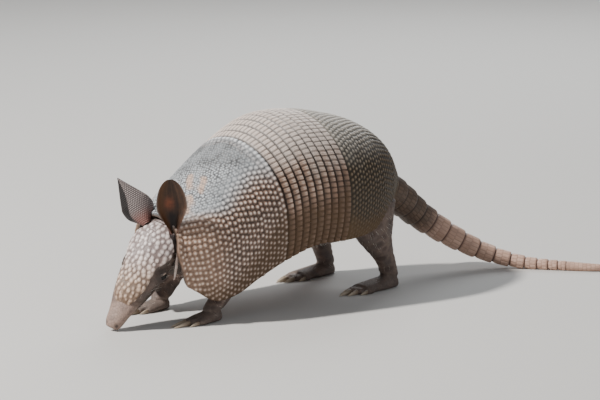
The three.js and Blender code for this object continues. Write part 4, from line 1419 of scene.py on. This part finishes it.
def hair_tree():
    """Scatters tapered hairs over a bed, leaning along its lie, as one plain mesh."""
    tree = bpy.data.node_groups.new("hairs", "GeometryNodeTree")
    for name, kind in (
        ("Bed", "Geometry"),
        ("Density", "Float"),
        ("Length", "Float"),
        ("Thickness", "Float"),
        ("Lean", "Float"),
        ("Seed", "Int"),
        ("Material", "Material"),
    ):
        tree.interface.new_socket(name, in_out="INPUT", socket_type="NodeSocket" + kind)
    tree.interface.new_socket("Hairs", in_out="OUTPUT", socket_type="NodeSocketGeometry")
    given = tree.nodes.new("NodeGroupInput").outputs

    def node(kind, inputs, **settings):
        made = tree.nodes.new(kind)
        for key, value in settings.items():
            setattr(made, key, value)
        for key, value in inputs.items():
            if isinstance(value, bpy.types.NodeSocket):
                tree.links.new(value, made.inputs[key])
            else:
                made.inputs[key].default_value = value
        return made.outputs

    def attribute(name, kind):
        return node("GeometryNodeInputNamedAttribute", {"Name": name}, data_type=kind)["Attribute"]

    def scaled(vector, factor):
        return node("ShaderNodeVectorMath", {0: vector, "Scale": factor}, operation="SCALE")["Vector"]

    def added(a, b):
        return node("ShaderNodeVectorMath", {0: a, 1: b}, operation="ADD")["Vector"]

    def maths(operation, a, b):
        return node("ShaderNodeMath", {0: a, 1: b}, operation=operation)[0]

    def stored(mesh, name, value, kind, domain):
        given_value = {"Geometry": mesh, "Name": name, "Value": value}
        store = "GeometryNodeStoreNamedAttribute"
        return node(store, given_value, data_type=kind, domain=domain)["Geometry"]

    thick_set = maths("MULTIPLY", given["Density"], attribute("density", "FLOAT"))
    roots = node(
        "GeometryNodeDistributePointsOnFaces",
        {"Mesh": given["Bed"], "Density": thick_set, "Seed": given["Seed"]},
        distribute_method="RANDOM",
    )
    stray = node(
        "FunctionNodeRandomValue",
        {0: (-0.4, -0.4, -0.3), 1: (0.4, 0.4, 0.3), "Seed": given["Seed"]},
        data_type="FLOAT_VECTOR",
    )[0]
    way = added(added(roots["Normal"], scaled(attribute("lie", "FLOAT_VECTOR"), given["Lean"])), stray)
    turned = node("FunctionNodeAlignRotationToVector", {"Vector": way}, axis="Z")["Rotation"]
    grown = node("FunctionNodeRandomValue", {2: 0.55, 3: 1.2, "Seed": given["Seed"]}, data_type="FLOAT")[1]
    length = maths("MULTIPLY", given["Length"], grown)
    size = node("ShaderNodeCombineXYZ", {0: given["Thickness"], 1: given["Thickness"], 2: length})[0]
    straight = node(
        "GeometryNodeMeshCone",
        {
            "Vertices": HAIR_SIDES,
            "Side Segments": HAIR_JOINTS,
            "Radius Top": 0.08,
            "Radius Bottom": 0.5,
            "Depth": 1.0,
        },
        fill_type="NGON",
    )["Mesh"]
    place = node("GeometryNodeInputPosition", {})[0]
    up = node("ShaderNodeSeparateXYZ", {0: place})[2]
    bow = node("ShaderNodeCombineXYZ", {0: maths("POWER", up, 2.0)})[0]
    bent = node("GeometryNodeSetPosition", {"Geometry": straight, "Offset": bow})["Geometry"]
    kept = stored(bent, "local", place, "FLOAT_VECTOR", "POINT")
    hairs = node(
        "GeometryNodeInstanceOnPoints",
        {"Points": roots["Points"], "Instance": kept, "Rotation": turned, "Scale": size},
    )["Instances"]
    real = node("GeometryNodeRealizeInstances", {"Geometry": hairs})["Geometry"]
    own_patch = scaled(attribute("local", "FLOAT_VECTOR"), HAIR_PATCH)
    patch = added(attribute("unwrap", "FLOAT_VECTOR"), own_patch)
    mapped = stored(real, "OFBake", patch, "FLOAT2", "CORNER")
    coated = {"Geometry": mapped, "Material": given["Material"]}
    dressed = node("GeometryNodeSetMaterial", coated)["Geometry"]
    tree.links.new(dressed, tree.nodes.new("NodeGroupOutput").inputs["Hairs"])
    return tree


n = Nodes("hair")
pale_hair = n.finish(n.mix(n.noise(30), (0.62, 0.56, 0.48), (0.80, 0.76, 0.70)), 0.5)
hairs = hair_tree()


def grow(name, bed, **sizes):
    """Hairs on a bed as one plain mesh, riding on the frame; the bed itself is thrown away."""
    unwrap(bed)
    modifier = bed.modifiers.new("hairs", "NODES")
    modifier.node_group = hairs
    for socket in hairs.interface.items_tree:
        if socket.in_out == "INPUT" and socket.name in sizes:
            modifier[socket.identifier] = sizes[socket.name]
    coat = applied(bed)
    coat.name = name
    for layer in [a.name for a in coat.attributes if a.name in ("density", "lie", "unwrap", "local")]:
        coat.attributes.remove(coat.attributes[layer])
    coat.shade_smooth()
    piece = in_scene(name, coat)
    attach(piece, "root")


HAIR_DENSITY = 26000.0
ROOT_DEPTH = 0.8
share = np.linspace(-1, 1, BED_COLS)[None, :] + np.zeros((BED_ROWS, 1))
x = np.linspace(RIM_X, RUMP_X, BED_ROWS)[:, None] + 0 * share
angle = flank_angle(x, share)
points = armour(lean_forward(x, angle), angle, -ROOT_DEPTH)
lie = unit(armour(x + 1, angle) - armour(x - 1, angle))
at_rim = np.maximum(smooth(0.93, 0.99, np.abs(share)), smooth(RIM_X + 8, RIM_X + 2, x))
density = 0.55 + 0.45 * smooth(120, 160, points[..., 2]) + 2.2 * at_rim
number = np.arange(BED_ROWS * BED_COLS).reshape(BED_ROWS, BED_COLS)
faces = quads(number[:-1, :-1], number[:-1, 1:], number[1:, 1:], number[1:, :-1])
bed = hair_bed("armour_bed", points.reshape(-1, 3), faces, density, lie)
sizes = dict(Length=0.0048, Thickness=0.00030, Lean=0.7)
grow("armour_hair", bed, Density=HAIR_DENSITY, Seed=71, Material=pale_hair, **sizes)

thinning = ("DECIMATE", {"ratio": BED_TRIANGLES / SKIN_TRIANGLES})
points, normals, faces = mesh_values(with_modifiers(plain_mesh(skin_points, skin_faces), thinning))
axial, aside, above_axis = head_coordinates(points)
near_head = smooth(-16, -4, axial) * smooth(42, 36, np.abs(above_axis + 14)) * smooth(30, 24, np.abs(aside))
bare = near_head * np.maximum(smooth(66, 84, axial), smooth(-12, -4, above_axis))
density = 0.35 + 0.65 * near_head + 0.9 * smooth(12, 3, from_belly(points))
density = density * (1 - bare) * smooth(5, 12, points[:, 2])
fall = np.where(near_head[:, None] > 0.5, -nose_way, np.array([0.45, 0.0, -0.9]))
lie = unit(fall - normals * (normals * fall).sum(-1, keepdims=True))
bed = hair_bed("skin_bed", points - normals * 0.5, faces, density, lie)
sizes = dict(Length=0.0055, Thickness=0.00024, Lean=1.3)
grow("skin_hair", bed, Density=HAIR_DENSITY, Seed=72, Material=pale_hair, **sizes)

# ---------------------------------------------------------------- floor, light and camera
# The model stands on a plain pale floor in soft studio light, with the key light high on the left.
# The long lens frames the whole animal from its left front, a little above it. Distances are in mm.
CAMERA_AZIMUTH = math.radians(-43.8)
CAMERA_HEIGHT = math.radians(12.0)
CAMERA_AWAY = 3000.0
LENS_MM = 191.2
FRAME_PIXELS = (600, 400)
FOOT_PIXEL = (278.5, 295.7)  # where the animal's own origin falls in the frame

back = np.array(
    [
        math.sin(CAMERA_AZIMUTH) * math.cos(CAMERA_HEIGHT),
        -math.cos(CAMERA_AZIMUTH) * math.cos(CAMERA_HEIGHT),
        math.sin(CAMERA_HEIGHT),
    ]
)
right = np.array([math.cos(CAMERA_AZIMUTH), math.sin(CAMERA_AZIMUTH), 0.0])
above = np.cross(back, right)
camera_data = bpy.data.cameras.new("camera")
camera_data.lens = LENS_MM
camera = in_scene("camera", camera_data)
camera.location = (SHIFT + back * CAMERA_AWAY) / 1000
pixel = camera_data.sensor_width / LENS_MM / FRAME_PIXELS[0]
aim = (
    -back
    - right * (FOOT_PIXEL[0] - FRAME_PIXELS[0] / 2) * pixel
    + above * (FOOT_PIXEL[1] - FRAME_PIXELS[1] / 2) * pixel
)
camera.rotation_mode = "QUATERNION"
camera.rotation_quaternion = Vector(aim).to_track_quat("-Z", "Y")
bpy.context.scene.camera = camera

FLOOR_HALF = 6.0
CORNERS = ((-1, -1), (1, -1), (1, 1), (-1, 1))
floor_mesh = bpy.data.meshes.new("floor")
floor_mesh.from_pydata([(x * FLOOR_HALF, y * FLOOR_HALF, 0) for x, y in CORNERS], [], [(0, 1, 2, 3)])
floor_mesh.materials.append(Nodes("floor_paint").finish((0.62, 0.61, 0.59), 0.9))
in_scene("floor", floor_mesh)


def lamp(name, place, size, watts, color):
    """A round soft lamp, turned to the middle of the animal."""
    data = bpy.data.lights.new(name, "AREA")
    data.shape = "DISK"
    data.size = size
    data.energy = watts
    data.color = color
    thing = in_scene(name, data)
    thing.location = place
    thing.rotation_mode = "QUATERNION"
    thing.rotation_quaternion = (Vector(LAMP_AIM) - Vector(place)).to_track_quat("-Z", "Y")


LAMP_AIM = (0, 0, 0.08)
key_place = (-right * 2.1 + back * 0.75 + np.array([0, 0, 2.1])).tolist()
fill_place = (right * 1.9 + back * 1.6 + np.array([0, 0, 1.0])).tolist()
rim_place = (right * 0.3 - back * 2.0 + np.array([0, 0, 1.8])).tolist()
lamp("key", key_place, 0.2, 162, (1.0, 0.97, 0.93))
lamp("fill", fill_place, 1.6, 6, (0.92, 0.96, 1.0))
lamp("rim", rim_place, 1.2, 22, (0.95, 0.98, 1.0))
world = bpy.data.worlds.new("studio")
world.use_nodes = True
sky = world.node_tree.nodes["Background"].inputs
sky["Color"].default_value = (0.80, 0.82, 0.85, 1)
sky["Strength"].default_value = 0.34
bpy.context.scene.world = world
